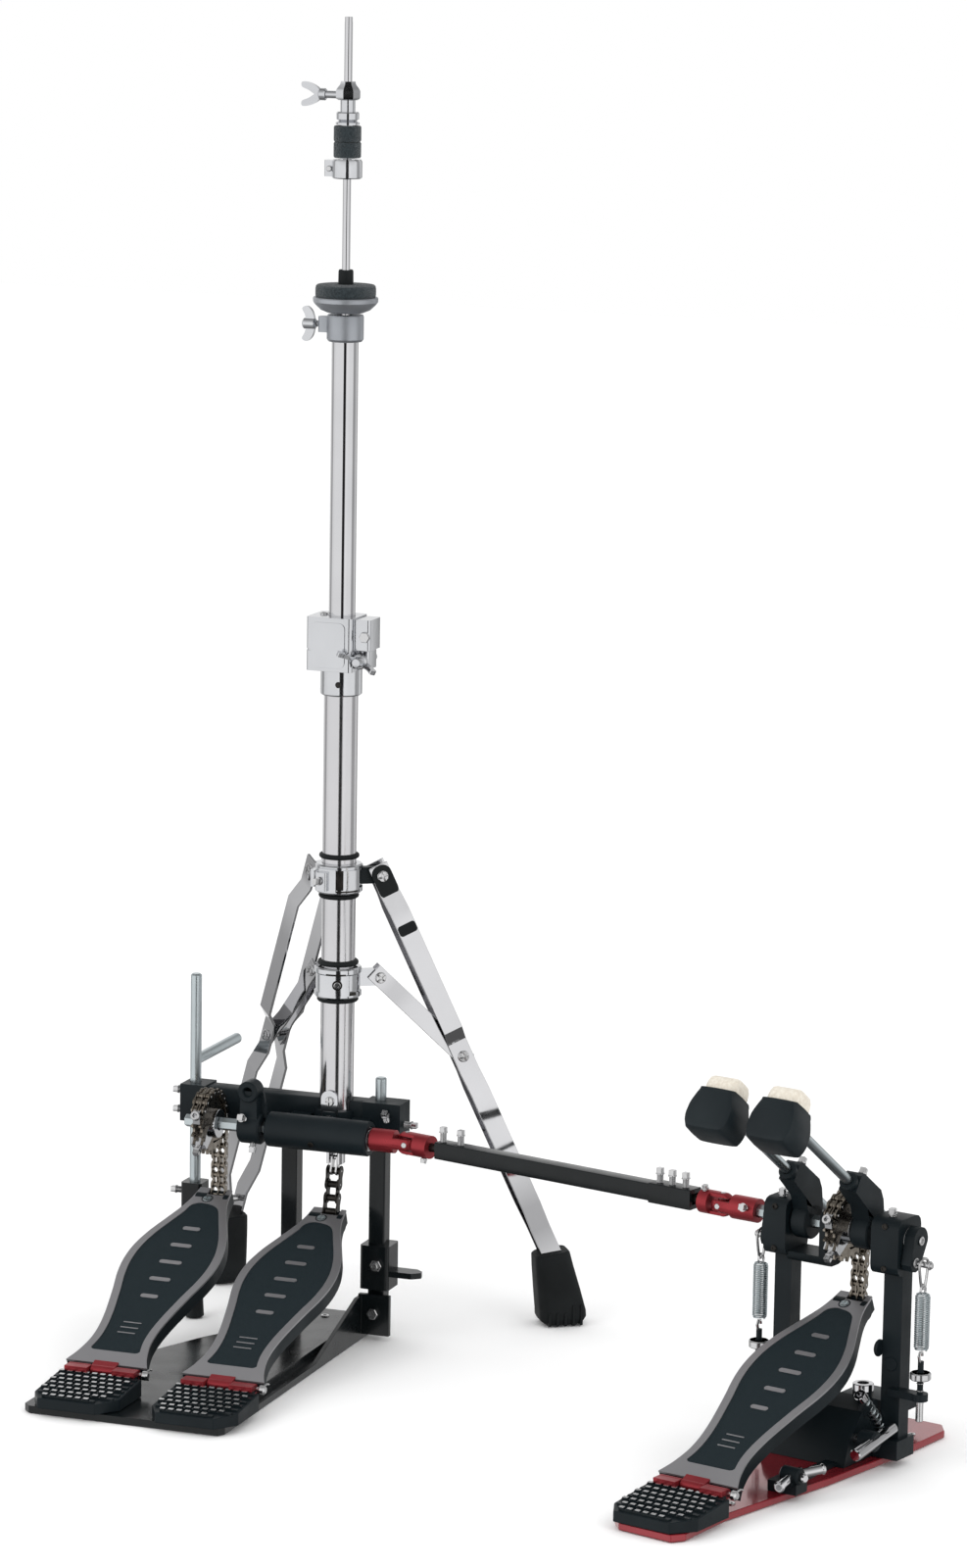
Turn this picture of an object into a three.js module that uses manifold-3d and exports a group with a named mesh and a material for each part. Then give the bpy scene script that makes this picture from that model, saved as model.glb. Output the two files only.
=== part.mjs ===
// Double bass drum pedal with a hi-hat stand built into the left frame.
//
// Millimetres, +Z up. The origin is on the floor under the axis of the hi-hat tube,
// +X points to the player's right and +Y away from the player.
// The left frame carries two footboards: the slave pedal and the hi-hat pedal.
// The right frame carries the main pedal and both beaters, turned about Z by MAIN.turn,
// with its own origin on the floor under the middle of its heel hinge.
import * as THREE from 'three';
import { mergeVertices } from 'three/addons/utils/BufferGeometryUtils.js';
import Module from 'manifold-3d';

const wasm = await Module();
wasm.setup();

// ---------------------------------------------------------------- driving dimensions
const DEG = Math.PI / 180;
const GAP = 0.3;                 // between parts that touch
const SIDES = 24;                // facets round a plain cylinder

const BOARD = {
  length: 248.5, plate: 5, skirt: 13, wall: 4, heelZ: 27,
  hingeBack: 5, hingeDown: 4.7,  // hinge axis, from the top heel edge
  knuckle: 4.3, pin: 2, knuckleSides: 14, knuckleHalf: 31, middleHalf: 10.6,
  notchX: 2.5, notchHalf: 7.8, notchFrom: 239,
};
const HEEL_PLATE = { half: 36.5, front: 74, back: 11.4, top: 23, frontTop: 17, chamfer: 14 };
const AXLE = { ahead: 205.5, z: 183.5, hex: 5.5, bore: 6.2 };
const CHAIN = { offset: 2.5, width: 14, depth: 9, pitchRadius: 26, lowEnd: 117 };
const BASE_TOP = 6;

const HEELS = { slaveX: -104, hihatX: -1, y: -242.5, slavePitch: 21.9, hihatPitch: 20.1 };
const MAIN = { x: 437.8, y: -353, turn: -15, pitch: 23 };

const LEFT_AXLE_Y = HEELS.y + AXLE.ahead;
const FRAME = {
  beam: { x0: -139, x1: 56, y0: -5, y1: 15, z0: 176, z1: 206 },
  post: 14.3, innerX: -43, outerX: 37, postY: 8,
  bearing: { r: 14.8, x0: -45.8, x1: 45.3 },
  outrigger: { x: -131, y: 5, r: 4.75, top: 301.4, armZ: 226, armEnd: 98 },
};

const TUBE = {
  lowerR: 14.3, lowerBore: 12.5, lowerBottom: 190.3, lowerTop: 590,
  upperR: 11.1, upperBore: 9.4, upperBottom: 450, upperTop: 868,
  clampBottom: 551.8, clampBlock: 573, clampTop: 618,
};
const WING = { x: 23, z: 583 };
const ROD = { r: 3.2, bottom: 172, top: 1111 };
const SEAT = { neckR: 15.3, neckBottom: 847.8, cupBottom: 869.6, cupTop: 882.5, cupR: 26.8,
  feltR: 25, feltTop: 893, ferruleR: 6.4, ferruleBore: 5.1, ferruleTop: 905 };
const CLUTCH = { top: 1058.7, nutR: 10.8, neckR: 6.2, feltR: 11.2, feltTop: 1022.8,
  feltBottom: 996.5, ringTop: 996, ringBottom: 979.7, ringR: 12.5 };

const LEGS = {
  rightTurn: 34, leftTurn: 141,
  pivotR: 35.5, upperZ: 397.6, lowerZ: 310, lean: 24.6, length: 388, toJoint: 173.4,
  strap: 17, thick: 2.4,
  collarR: 20, collarBore: 14.7, upperTop: 409, upperBottom: 384.5, lowerTop: 321, lowerBottom: 295,
  bootHalf: 15, pocket: 30,
};
// Half the distance between a leg's two straps, at each distance from its pivot.
const STRAP_LINE = [
  [-10, 7.6], [16, 7.6], [32, 16], [146, 16], [159, 7.6], [187, 7.6], [206, 14.5], [318, 14.5],
  [342, 7.7], [388, 7.7],
];
// Side of the rubber boot: distance from the tube's axis, and height.
const BOOT_SIDE = [
  [176, 55], [179, 12], [186, 2], [190, 0], [208, 0], [215, 5], [220, 17], [207, 60], [181, 60],
];

const LEFT_JOINT = [78.6, LEFT_AXLE_Y, AXLE.z];
const MAIN_JOINT_X = -112.3;     // centre of the second universal joint, in the right frame
const YOKE = {
  r: 9.8, inside: 6.2, earHalf: 4.4, floor: 10.6, cross: 4.6, pin: 2.2, hexBore: 5.9, roundBore: 3.9,
};
const YOKE_LENGTH = { slaveIn: 31.5, slaveOut: 24.5, mainOut: 20, mainIn: 34 };
const OUTER_TUBE = { half: 7.15, bore: 4.4, from: 33, to: 288, stubR: 3.6 };
const INNER_ROD = { r: 3.6, from: 75 };

const POSTS = { rightX: 51.5, rightW: 17, leftX: -50, leftW: 15.5, y: AXLE.ahead, depth: 15 };
const HOUSING = { z0: 155, z1: 201, rightX0: 36, rightX1: 61, leftX0: -63, leftX1: -42.5 };
const BEATERS = {
  mainX: 21.9, slaveX: -34, angle: 35.6, back: 20, rodR: 4, tail: 24, reach: 176,
  headFrom: -191, headTo: -156, bodyLow: -7.5, bodyHigh: 29,
  feltFrom: -187, feltTo: -160, feltHalf: 14, feltHigh: 41,
};
// Outline of a beater's body seen along its rod: half widths at heights.
const BEATER_OUTLINE = [[12, -7.5], [18, -5], [21, 3], [20, 16], [15, 27], [12, 29]];
// Side of the socket that holds the rod, over the round hub: along the rod, height.
const SOCKET_SIDE = [[-49, 12], [-49, 29], [-46, 31], [-12, 31], [-4, 26], [9, 8], [0, -4], [-14, 2], [-26, 11]];
const TEE = { y: 166, z: 27.5 };
const SPRING = { r: 6.5, z0: 97, z1: 145, rightX: 78, leftX: -71.5, y: 199, pinZ: 167, pinR: 2.6 };

// ---------------------------------------------------------------- materials
const paint = (color, roughness, metalness) =>
  new THREE.MeshStandardMaterial({ color, roughness, metalness });
const BLACK = paint(0x10181b, 0.5, 0.2);
const RED = paint(0xa5333b, 0.35, 0.6);
const CHROME = paint(0xd8dade, 0.12, 1);
const ZINC = paint(0xb4bfc6, 0.3, 0.9);
const SATIN = paint(0xa7a7ab, 0.4, 0.7);
const GREY_CAST = paint(0xa9adb3, 0.45, 0.6);
const CHAIN_METAL = paint(0x8a8378, 0.4, 0.9);
const RUBBER = paint(0x141719, 0.85, 0);
const FELT = paint(0x3d4448, 1, 0);

// ---------------------------------------------------------------- shape helpers
// A closed three.js geometry as a manifold solid; facets squeezed to nothing are dropped.
function solid(geometry) {
  const bare = geometry.clone();
  bare.deleteAttribute('normal');
  bare.deleteAttribute('uv');
  const merged = mergeVertices(bare, 1e-4);
  const index = merged.index.array;
  const triangles = [];
  for (let i = 0; i < index.length; i += 3) {
    const [a, b, c] = [index[i], index[i + 1], index[i + 2]];
    if (a !== b && b !== c && a !== c) triangles.push(a, b, c);
  }
  return new wasm.Manifold(new wasm.Mesh({
    numProp: 3,
    vertProperties: Float32Array.from(merged.attributes.position.array),
    triVerts: Uint32Array.from(triangles),
  }));
}

function geometryOf(manifold) {
  const mesh = manifold.getMesh();
  const geometry = new THREE.BufferGeometry();
  geometry.setAttribute('position', new THREE.Float32BufferAttribute(mesh.vertProperties, 3));
  geometry.setIndex(Array.from(mesh.triVerts));
  geometry.computeVertexNormals();
  return geometry;
}

const join = (...pieces) => geometryOf(pieces.map(solid).reduce((a, b) => a.add(b)));
const cut = (body, ...tools) => geometryOf(tools.map(solid).reduce((a, b) => a.subtract(b), solid(body)));
const common = (a, b) => geometryOf(solid(a).intersect(solid(b)));

// A box from its lowest corner to its highest corner.
function box(x0, x1, y0, y1, z0, z1) {
  return new THREE.BoxGeometry(x1 - x0, y1 - y0, z1 - z0)
    .translate((x0 + x1) / 2, (y0 + y1) / 2, (z0 + z1) / 2);
}

// Cylinders and cones along each axis, centred on the two other coordinates.
function barZ(r, z0, z1, x = 0, y = 0, sides = SIDES, topR = r) {
  return new THREE.CylinderGeometry(topR, r, z1 - z0, sides)
    .rotateX(Math.PI / 2).translate(x, y, (z0 + z1) / 2);
}
function barX(r, x0, x1, y, z, sides = SIDES) {
  return new THREE.CylinderGeometry(r, r, x1 - x0, sides)
    .rotateZ(-Math.PI / 2).translate((x0 + x1) / 2, y, z);
}
function barY(r, y0, y1, x, z, sides = SIDES) {
  return new THREE.CylinderGeometry(r, r, y1 - y0, sides).translate(x, (y0 + y1) / 2, z);
}

// A round bar between two points.
function barBetween(r, from, to, sides = 12) {
  const a = new THREE.Vector3(...from);
  const b = new THREE.Vector3(...to);
  const way = b.clone().sub(a);
  const turn = new THREE.Quaternion().setFromUnitVectors(new THREE.Vector3(0, 1, 0), way.clone().normalize());
  return new THREE.CylinderGeometry(r, r, way.length(), sides)
    .applyQuaternion(turn).translate(...a.add(b).multiplyScalar(0.5).toArray());
}

// An outline in the XY plane, raised from z0 to z1.
function slab(points, z0, z1) {
  const shape = new THREE.Shape(points.map(([x, y]) => new THREE.Vector2(x, y)));
  return new THREE.ExtrudeGeometry(shape, { depth: z1 - z0, bevelEnabled: false }).translate(0, 0, z0);
}

// An outline in the YZ plane, given as [y, z], between x0 and x1.
function profileX(points, x0, x1) {
  const flat = slab(points, x0, x1);
  return flat.rotateX(Math.PI / 2).rotateZ(Math.PI / 2);
}

// A radius round a rectangle's corners: [x, y] points, counter-clockwise.
function roundedRect(x0, x1, y0, y1, r, steps = 4) {
  const points = [];
  const corners = [[x1 - r, y1 - r, 0], [x0 + r, y1 - r, 90], [x0 + r, y0 + r, 180], [x1 - r, y0 + r, 270]];
  for (const [cx, cy, start] of corners) {
    for (let i = 0; i <= steps; i += 1) {
      const a = (start + 90 * i / steps) * DEG;
      points.push([cx + r * Math.cos(a), cy + r * Math.sin(a)]);
    }
  }
  return points;
}

const turnedAbout = (geometry, axis, degrees, [x, y, z]) =>
  geometry.translate(-x, -y, -z)
    .applyQuaternion(new THREE.Quaternion().setFromAxisAngle(axis, degrees * DEG)).translate(x, y, z);
const X_AXIS = new THREE.Vector3(1, 0, 0);

function add(group, name, geometry, material) {
  const mesh = new THREE.Mesh(geometry, material);
  mesh.name = name;
  group.add(mesh);
  return mesh;
}

// ---------------------------------------------------------------- footboard and heel plate
// Half widths of the footboard at each distance from its heel edge.
const HALF_WIDTHS = [
  [0, 36], [15, 30], [35, 26.3], [60, 27.6], [95, 34], [120, 39.6], [140, 41.8], [160, 40.6],
  [180, 35.6], [200, 27.8], [220, 20], [234, 16.4], [248.5, 14.6],
];

function boardOutline(inset = 0) {
  const curve = new THREE.SplineCurve(HALF_WIDTHS.map(([v, half]) => new THREE.Vector2(half, v)));
  const right = curve.getPoints(16).map((p) => [p.x - inset, p.y]);
  const side = right.map(([x, y]) => [x, Math.min(Math.max(y, inset), BOARD.length - inset)]);
  return [...side, ...side.slice().reverse().map(([x, y]) => [-x, y])];
}

// The board lies in its own frame: heel edge on X, toe along +Y, top face at Z = 0.
function footboard(pitch) {
  const plate = slab(boardOutline(), -BOARD.plate, 0);
  const skirtOuter = slab(boardOutline(), -BOARD.skirt, -BOARD.plate + 1);
  const skirtInner = slab(boardOutline(BOARD.wall), -BOARD.skirt - 1, -BOARD.plate);
  const toeBoss = barX(7.5, -14.6, 14.6, 238, -7.6, 16);
  const notch = box(BOARD.notchX - BOARD.notchHalf, BOARD.notchX + BOARD.notchHalf,
    BOARD.notchFrom, BOARD.length + 5, -30, 5);
  const bossHollow = box(BOARD.notchX - BOARD.notchHalf, BOARD.notchX + BOARD.notchHalf,
    BOARD.notchFrom - 9, BOARD.length + 5, -30, -BOARD.plate - 0.01);
  const body = cut(join(plate, cut(skirtOuter, skirtInner), toeBoss), notch, bossHollow);

  const back = BOARD.hingeBack;
  const down = BOARD.hingeDown;
  const a = -pitch * DEG;
  const hy = -back * Math.cos(a) + down * Math.sin(a);
  const hz = -back * Math.sin(a) - down * Math.cos(a);
  const half = BOARD.middleHalf;
  const leaf = box(-half, half, hy, 1.5, hz + 0.2, hz + BOARD.knuckle - 0.3);
  const knuckle = barX(BOARD.knuckle, -half, half, hy, hz, BOARD.knuckleSides);
  const bore = barX(BOARD.pin + GAP, -half - 1, half + 1, hy, hz, BOARD.knuckleSides);
  return cut(join(body, leaf, knuckle), bore);
}

// Block under the heel with the outer knuckles and the pin of the hinge, heel edge on X.
function heelPlate() {
  const { half, front, back, top, frontTop, chamfer } = HEEL_PLATE;
  const bottom = BASE_TOP + GAP;
  const plan = [
    [-half, -back], [-half, -front + chamfer], [-half + chamfer * 0.6, -front],
    [half - chamfer, -front], [half, -front + chamfer * 1.3], [half, -back],
  ].reverse();
  const side = [[-front, bottom], [-back, bottom], [-back, top], [-front, frontTop]];
  const block = common(slab(plan, bottom, top), profileX(side, -half, half));
  const y = -BOARD.hingeBack;
  const z = BOARD.heelZ - BOARD.hingeDown;
  const pieces = [block, barX(BOARD.pin, -BOARD.knuckleHalf, half + 4, y, z, BOARD.knuckleSides)];
  for (const sign of [-1, 1]) {
    const inner = sign * (BOARD.middleHalf + 0.4);
    const outer = sign * BOARD.knuckleHalf;
    const [x0, x1] = [Math.min(inner, outer), Math.max(inner, outer)];
    pieces.push(barX(BOARD.knuckle, x0, x1, y, z, BOARD.knuckleSides));
    pieces.push(box(x0, x1, -back - 2, y, z - 3.6, z + 0.4));
  }
  return join(...pieces);
}

// ---------------------------------------------------------------- chain drive
// Shafts are hexagonal; what is clamped on them has a hexagonal hole with a little clearance.
const hexShaft = (x0, x1) => barX(AXLE.hex, x0, x1, 0, 0, 6);
const hexBore = () => barX(AXLE.hex + GAP, -30, 30, 0, 0, 6);

// Toothed wheel with its boss, and the chain that wraps over it, about an X axis at y = z = 0.
function sprocket(halfWidth) {
  const wheel = barX(CHAIN.pitchRadius - 4.9, -halfWidth + 2, halfWidth - 2, 0, 0, 28);
  const boss = barX(12.5, -halfWidth, halfWidth + 3.5, 0, 0, 20);
  const inner = CHAIN.pitchRadius - 5.2;
  const outer = CHAIN.pitchRadius + CHAIN.depth / 2;
  const arc = [];
  const steps = 14;
  for (let i = 0; i <= steps; i += 1) {
    const a = (12 + 143 * i / steps) * DEG;
    arc.push([outer * Math.cos(a), outer * Math.sin(a)]);
  }
  for (let i = steps; i >= 0; i -= 1) {
    const a = (12 + 143 * i / steps) * DEG;
    arc.push([inner * Math.cos(a), inner * Math.sin(a)]);
  }
  const wrap = profileX(arc, -CHAIN.width / 2, CHAIN.width / 2);
  const anchor = barBetween(4.2, [0, -15, 6], [0, -27, 11], 12);
  return cut(join(wheel, boss, wrap, anchor), hexBore());
}

// Straight chain from the rim of the sprocket down into the notch of the footboard.
function chainRun(toeY) {
  const halfDepth = CHAIN.depth / 2;
  const drop = CHAIN.lowEnd - AXLE.z;
  const shift = toeY - (AXLE.ahead + CHAIN.pitchRadius);
  const outline = [];
  for (let i = 0; i <= 8; i += 1) {
    const a = (180 - 180 * i / 8) * DEG;
    outline.push([halfDepth * Math.cos(a), halfDepth * Math.sin(a)]);
  }
  outline.push([shift + halfDepth - 1, drop], [shift - halfDepth + 1, drop]);
  return profileX(outline.reverse(), -CHAIN.width / 2, CHAIN.width / 2);
}

// ---------------------------------------------------------------- universal joint
// A forked yoke along +X from its joint centre at the origin. The two ears stand along the
// ear axis, and their far ends are rounded so that the facing fork can tilt inside them.
function yoke(earAxis, length, bore) {
  const { r, inside, earHalf, floor, pin } = YOKE;
  const rounding = join(new THREE.SphereGeometry(r + 0.3, 20, 14), barX(r + 1, 0, floor + 1, 0, 0, 20));
  const fork = common(barX(r, -r, floor + 1, 0, 0, 20), rounding);
  const slot = box(-r - 1, floor, -inside, inside, -r - 1, r + 1);
  const flanks = [
    box(-r - 1, floor, -r - 1, r + 1, earHalf, r + 1),
    box(-r - 1, floor, -r - 1, r + 1, -r - 1, -earHalf),
  ];
  const ears = cut(join(fork, barX(r, floor, length, 0, 0, 20)), slot, ...flanks,
    barY(pin + GAP, -r - 1, r + 1, 0, 0, 12), bore);
  return earAxis === 'z' ? ears.rotateX(Math.PI / 2) : ears;
}

// The first yoke of each joint also carries the cross on its pins.
function yokeWithCross(earAxis, length, bore) {
  const { r, cross, pin } = YOKE;
  const hub = new THREE.SphereGeometry(cross, 12, 8);
  const own = barY(pin + GAP + 0.1, -r + 0.4, r - 0.4, 0, 0, 12);
  const body = join(yoke('y', length, bore), hub, own);
  return earAxis === 'z' ? body.rotateX(Math.PI / 2) : body;
}

// Sockets of the yokes: hexagonal for a shaft, round for the linkage rods.
const hexSocket = (length) => barX(YOKE.hexBore, YOKE.floor + 3, length + 1, 0, 0, 6);
const roundSocket = (length) => barX(YOKE.roundBore, YOKE.floor + 3, length + 1, 0, 0, 12);

// ---------------------------------------------------------------- left frame
const part = new THREE.Group();
const left = new THREE.Group();
part.add(left);

function leftBasePlate() {
  const plan = [
    [-142, -311], [23, -311], [27, -305], [27, 53], [-62, 53], [-62, -20], [-91, -70],
    [-113, -121], [-148, -165], [-148, -305],
  ];
  const plate = slab(plan, 0, BASE_TOP);
  const lug = box(24, 52, -6, -1.2, BASE_TOP - 1, 40);
  const gusset = profileX([[-112, BASE_TOP - 1], [-1.2, BASE_TOP - 1], [-1.2, 38], [-14, 38]], 23.4, 27);
  const railInner = box(-30, -24, -228, -30, BASE_TOP - 1, 13);
  const railOuter = box(12, 18, -228, -30, BASE_TOP - 1, 13);
  return join(plate, lug, gusset, railInner, railOuter);
}

function crossBeam() {
  const { x0, x1, y0, y1, z0, z1 } = FRAME.beam;
  const { outrigger, outerX, postY } = FRAME;
  const beam = join(
    profileX(roundedRect(y0, y1, z0, z1, 2, 2), x0, x1),
    box(x0 - 1, x0 + 22, y0 - 3, y1 + 3, z0 - 1, z1 + 1),
    barZ(18, z0, 198, 0, 0),
    box(x1 - 30, x1 + 4, y0 - 2, y1 + 2, z0 - 1, z1 + 1),
  );
  return cut(beam,
    barZ(TUBE.lowerR + GAP, TUBE.lowerBottom - GAP, z1 + 5, 0, 0),
    barZ(5.5, z0 - 5, z1 + 5, 0, 0, 16),
    barZ(outrigger.r + GAP, z0 - 5, z1 + 5, outrigger.x, outrigger.y, 16),
    barZ(outrigger.r + GAP, z0 - 5, z1 + 5, outerX, postY, 16));
}

function framePost(x, withTop) {
  const half = FRAME.post / 2;
  const y = FRAME.postY;
  const top = FRAME.beam.z0 - 1 - GAP;
  const post = box(x - half, x + half, y - half, y + half, BASE_TOP + GAP, top);
  if (!withTop) return post;
  const rod = barZ(FRAME.outrigger.r, top - 1, 226, x, y, 16);
  const sleeve = slab(roundedRect(x - 13, x + 13, y - 12, y + 14, 3), 44, 82);
  const footPlan = [
    [x + 10, y - 10], [x + 33, y - 10], [x + 40, y - 2], [x + 33, y + 6], [x + 10, y + 6],
  ];
  const foot = slab(footPlan, 56, 61);
  return join(post, rod, sleeve, foot);
}

function outriggerRod() {
  const { x, y, r, top, armZ, armEnd } = FRAME.outrigger;
  return join(
    barZ(r, 40, top, x, y, 16),
    barY(r, y, armEnd, x, armZ, 16),
    slab(roundedRect(x - 9.5, x + 9.5, y - 10, y + 10, 3), 60, 120),
    barZ(8, 0, 42, x, y, 16, 6),
    barX(3, x - 22, x, y, 112, 10),
  );
}

function bearingHousing() {
  const { r, x0, x1 } = FRAME.bearing;
  const y = LEFT_AXLE_Y;
  const body = join(barX(r, x0, x1, y, AXLE.z), box(-36, -19, y, FRAME.beam.y0 - GAP, 177, 193));
  return cut(join(body, box(19, 34, y, FRAME.beam.y0 - 2 - GAP, 177, 193)),
    barX(AXLE.bore, x0 - 1, x1 + 1, y, AXLE.z));
}

function buildLeftFrame() {
  add(left, 'left_base_plate', leftBasePlate(), BLACK);
  add(left, 'cross_beam', crossBeam(), BLACK);
  add(left, 'frame_post_inner', framePost(FRAME.innerX, false), BLACK);
  add(left, 'frame_post_outer', framePost(FRAME.outerX, true), BLACK);
  add(left, 'outrigger_rod', outriggerRod(), ZINC);
  add(left, 'slave_bearing_housing', bearingHousing(), BLACK);
  const pedals = [
    ['slave', HEELS.slaveX, HEELS.slavePitch], ['hihat', HEELS.hihatX, HEELS.hihatPitch],
  ];
  for (const [name, x, pitch] of pedals) {
    const plate = add(left, `${name}_heel_plate`, heelPlate(), BLACK);
    plate.position.set(x, HEELS.y, 0);
    const board = add(left, `${name}_footboard`, footboard(pitch), SATIN);
    board.position.set(x, HEELS.y, BOARD.heelZ);
    board.rotation.x = pitch * DEG;
  }
}

// ---------------------------------------------------------------- slave shaft and linkage
// Clamp arm on the slave shaft: round hub with a boss that rises toward the beam.
function slaveHub() {
  const hub = barX(14, -10, 10, 0, 0);
  const boss = join(box(-6, 6, -11, 3, 0, 32), barY(9, -13, 3, 0, 32.5, 20));
  return cut(join(hub, boss), hexBore());
}

function buildSlaveShaft() {
  const centreX = LEFT_JOINT[0];
  const y = LEFT_AXLE_Y;
  const chainX = HEELS.slaveX + CHAIN.offset;
  const shaft = add(left, 'slave_hex_shaft', hexShaft(-121.8, centreX - YOKE.floor - 4), ZINC);
  shaft.position.set(0, y, AXLE.z);
  const wheel = add(left, 'slave_sprocket', sprocket(8), CHAIN_METAL);
  wheel.position.set(chainX, y, AXLE.z);
  const hub = add(left, 'slave_hub', slaveHub(), BLACK);
  hub.position.set(-61, y, AXLE.z);
  const inLength = YOKE_LENGTH.slaveIn;
  const yokeIn = add(left, 'slave_yoke_in', yokeWithCross('y', inLength, hexSocket(inLength)), RED);
  yokeIn.position.set(centreX, y, AXLE.z);
  yokeIn.rotation.z = Math.PI;
  const chain = add(left, 'slave_chain', chainRun(toeY(HEELS.slavePitch)), CHAIN_METAL);
  chain.position.set(chainX, y + CHAIN.pitchRadius, AXLE.z);
}

// Distance of the chain's lower end ahead of the heel edge.
const toeY = (pitch) => BOARD.length * Math.cos(pitch * DEG) - 0.5;

// The linkage frame has its origin at the left joint centre and X along the linkage.
function buildLinkage() {
  main.updateMatrixWorld(true);
  const far = main.localToWorld(new THREE.Vector3(MAIN_JOINT_X, AXLE.ahead, AXLE.z));
  const span = far.sub(new THREE.Vector3(...LEFT_JOINT));
  const length = span.length();
  const link = new THREE.Group();
  link.position.set(...LEFT_JOINT);
  link.rotation.z = Math.atan2(span.y, span.x);
  part.add(link);
  const { slaveOut, mainOut } = YOKE_LENGTH;
  const { half, bore, from, to, stubR } = OUTER_TUBE;
  const socketFloor = YOKE.floor + 3 + GAP;
  add(link, 'slave_yoke_out', yoke('z', slaveOut, roundSocket(slaveOut)), RED);
  const tube = join(
    box(from, to, -half, half, -half, half),
    box(to - 11, to + 2, -half - 1.2, half + 1.2, -half - 1.2, half + 1.2),
    barX(stubR, socketFloor, from + 1, 0, 0, 12));
  add(link, 'linkage_tube', cut(tube, box(from + 12, to + 5, -bore, bore, -bore, bore)), BLACK);
  add(link, 'linkage_inner_bar', barX(INNER_ROD.r, INNER_ROD.from, length - socketFloor, 0, 0, 12), BLACK);
  const farYoke = add(link, 'main_yoke_out', yoke('z', mainOut, roundSocket(mainOut)), RED);
  farYoke.position.x = length;
  farYoke.rotation.z = Math.PI;
}

// ---------------------------------------------------------------- hi-hat stand
function lowerTube() {
  const { lowerR, lowerBore, lowerBottom, lowerTop } = TUBE;
  return cut(barZ(lowerR, lowerBottom, lowerTop), barZ(lowerBore, lowerBottom + 6, lowerTop + 5),
    barZ(5.5, lowerBottom - 5, lowerBottom + 10, 0, 0, 16));
}

function heightClamp() {
  const { clampBottom, clampBlock, clampTop, lowerTop } = TUBE;
  const casting = join(
    barZ(17.6, clampBottom, clampBlock + 1),
    slab(roundedRect(-25, 16, -19, 19, 5), clampBlock, clampTop),
    box(14, 30, -13, 13, 575, clampTop - 1));
  return cut(casting,
    barZ(TUBE.lowerR + GAP, clampBottom - 5, lowerTop + GAP),
    barZ(TUBE.upperR + GAP, lowerTop - 5, clampTop + 5),
    box(16, 35, -1, 1, 590, clampTop + 5),
    barY(3 + GAP, -20, 20, WING.x, WING.z, 12));
}

// Wing screw that squeezes the clamp, along Y through the lug beside the block.
function clampWing() {
  const { x, z } = WING;
  return join(
    barY(3, -17, 16, x, z, 12),
    barY(6.5, -24, -13 - GAP, x, z, 12),
    box(x - 15, x + 15, -25, -21, z - 5, z + 5));
}

function upperTube() {
  const { upperR, upperBore, upperBottom, upperTop } = TUBE;
  const { neckR, neckBottom } = SEAT;
  const body = join(barZ(upperR, upperBottom, neckBottom + 2), barZ(neckR, neckBottom, upperTop),
    box(-24, -12, -4, 4, 852, 866), barY(2.6, -8, 8, 0, 866, 10));
  return cut(body, barZ(upperBore, upperBottom - 5, neckBottom - 4), barZ(6, neckBottom - 10, upperTop + 5));
}

function cymbalSeat() {
  const { cupBottom, cupTop, cupR } = SEAT;
  const outline = [[6, cupBottom], [15, cupBottom], [22, cupBottom + 2.5], [cupR, cupTop - 4],
    [cupR, cupTop], [6, cupTop]];
  const cup = new THREE.LatheGeometry([...outline, outline[0]].map(([r, z]) => new THREE.Vector2(r, z)), 32);
  return cup.rotateX(Math.PI / 2);
}

function seatFelt() {
  const { cupTop, feltR, feltTop, ferruleR, ferruleTop, ferruleBore } = SEAT;
  const felt = barZ(feltR, cupTop + GAP, feltTop, 0, 0, 32);
  const ferrule = barZ(ferruleR, cupTop + 1, ferruleTop, 0, 0, 16);
  return cut(join(felt, ferrule), barZ(ferruleBore, cupTop - 5, ferruleTop + 5, 0, 0, 16));
}

function clutchBody() {
  const { top, nutR, neckR, feltTop, ringTop, ringBottom, ringR } = CLUTCH;
  const body = join(
    barZ(nutR, 1044, 1052), barZ(nutR, 1052, top, 0, 0, SIDES, 6.5),
    barZ(neckR, ringTop - 1, 1045, 0, 0, 16),
    barZ(9, feltTop + GAP, feltTop + 9, 0, 0, 20),
    barZ(ringR, ringBottom, ringTop - GAP),
    box(-18.5, -8, -4, 4, ringBottom + 1, ringTop - 1),
    box(-41, -9, -2, 2, 1042, 1051));
  return cut(body, barZ(ROD.r + GAP, ringBottom - 5, 1075, 0, 0, 16));
}

function clutchFelt() {
  const { feltR, feltTop, feltBottom, neckR } = CLUTCH;
  return cut(barZ(feltR, feltBottom, feltTop), barZ(neckR + GAP, feltBottom - 5, feltTop + 5, 0, 0, 16));
}

function pullRod() {
  const clevis = cut(
    slab(roundedRect(-7, 7, -6, 6, 2, 2), ROD.bottom - 22, ROD.bottom),
    box(-3.8, 3.8, -8, 8, ROD.bottom - 25, ROD.bottom - 7));
  return join(clevis, barZ(ROD.r, ROD.bottom - 2, ROD.top, 0, 0, 16),
    barX(2, -6, 6, 0, ROD.bottom - 17, 10));
}

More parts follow.
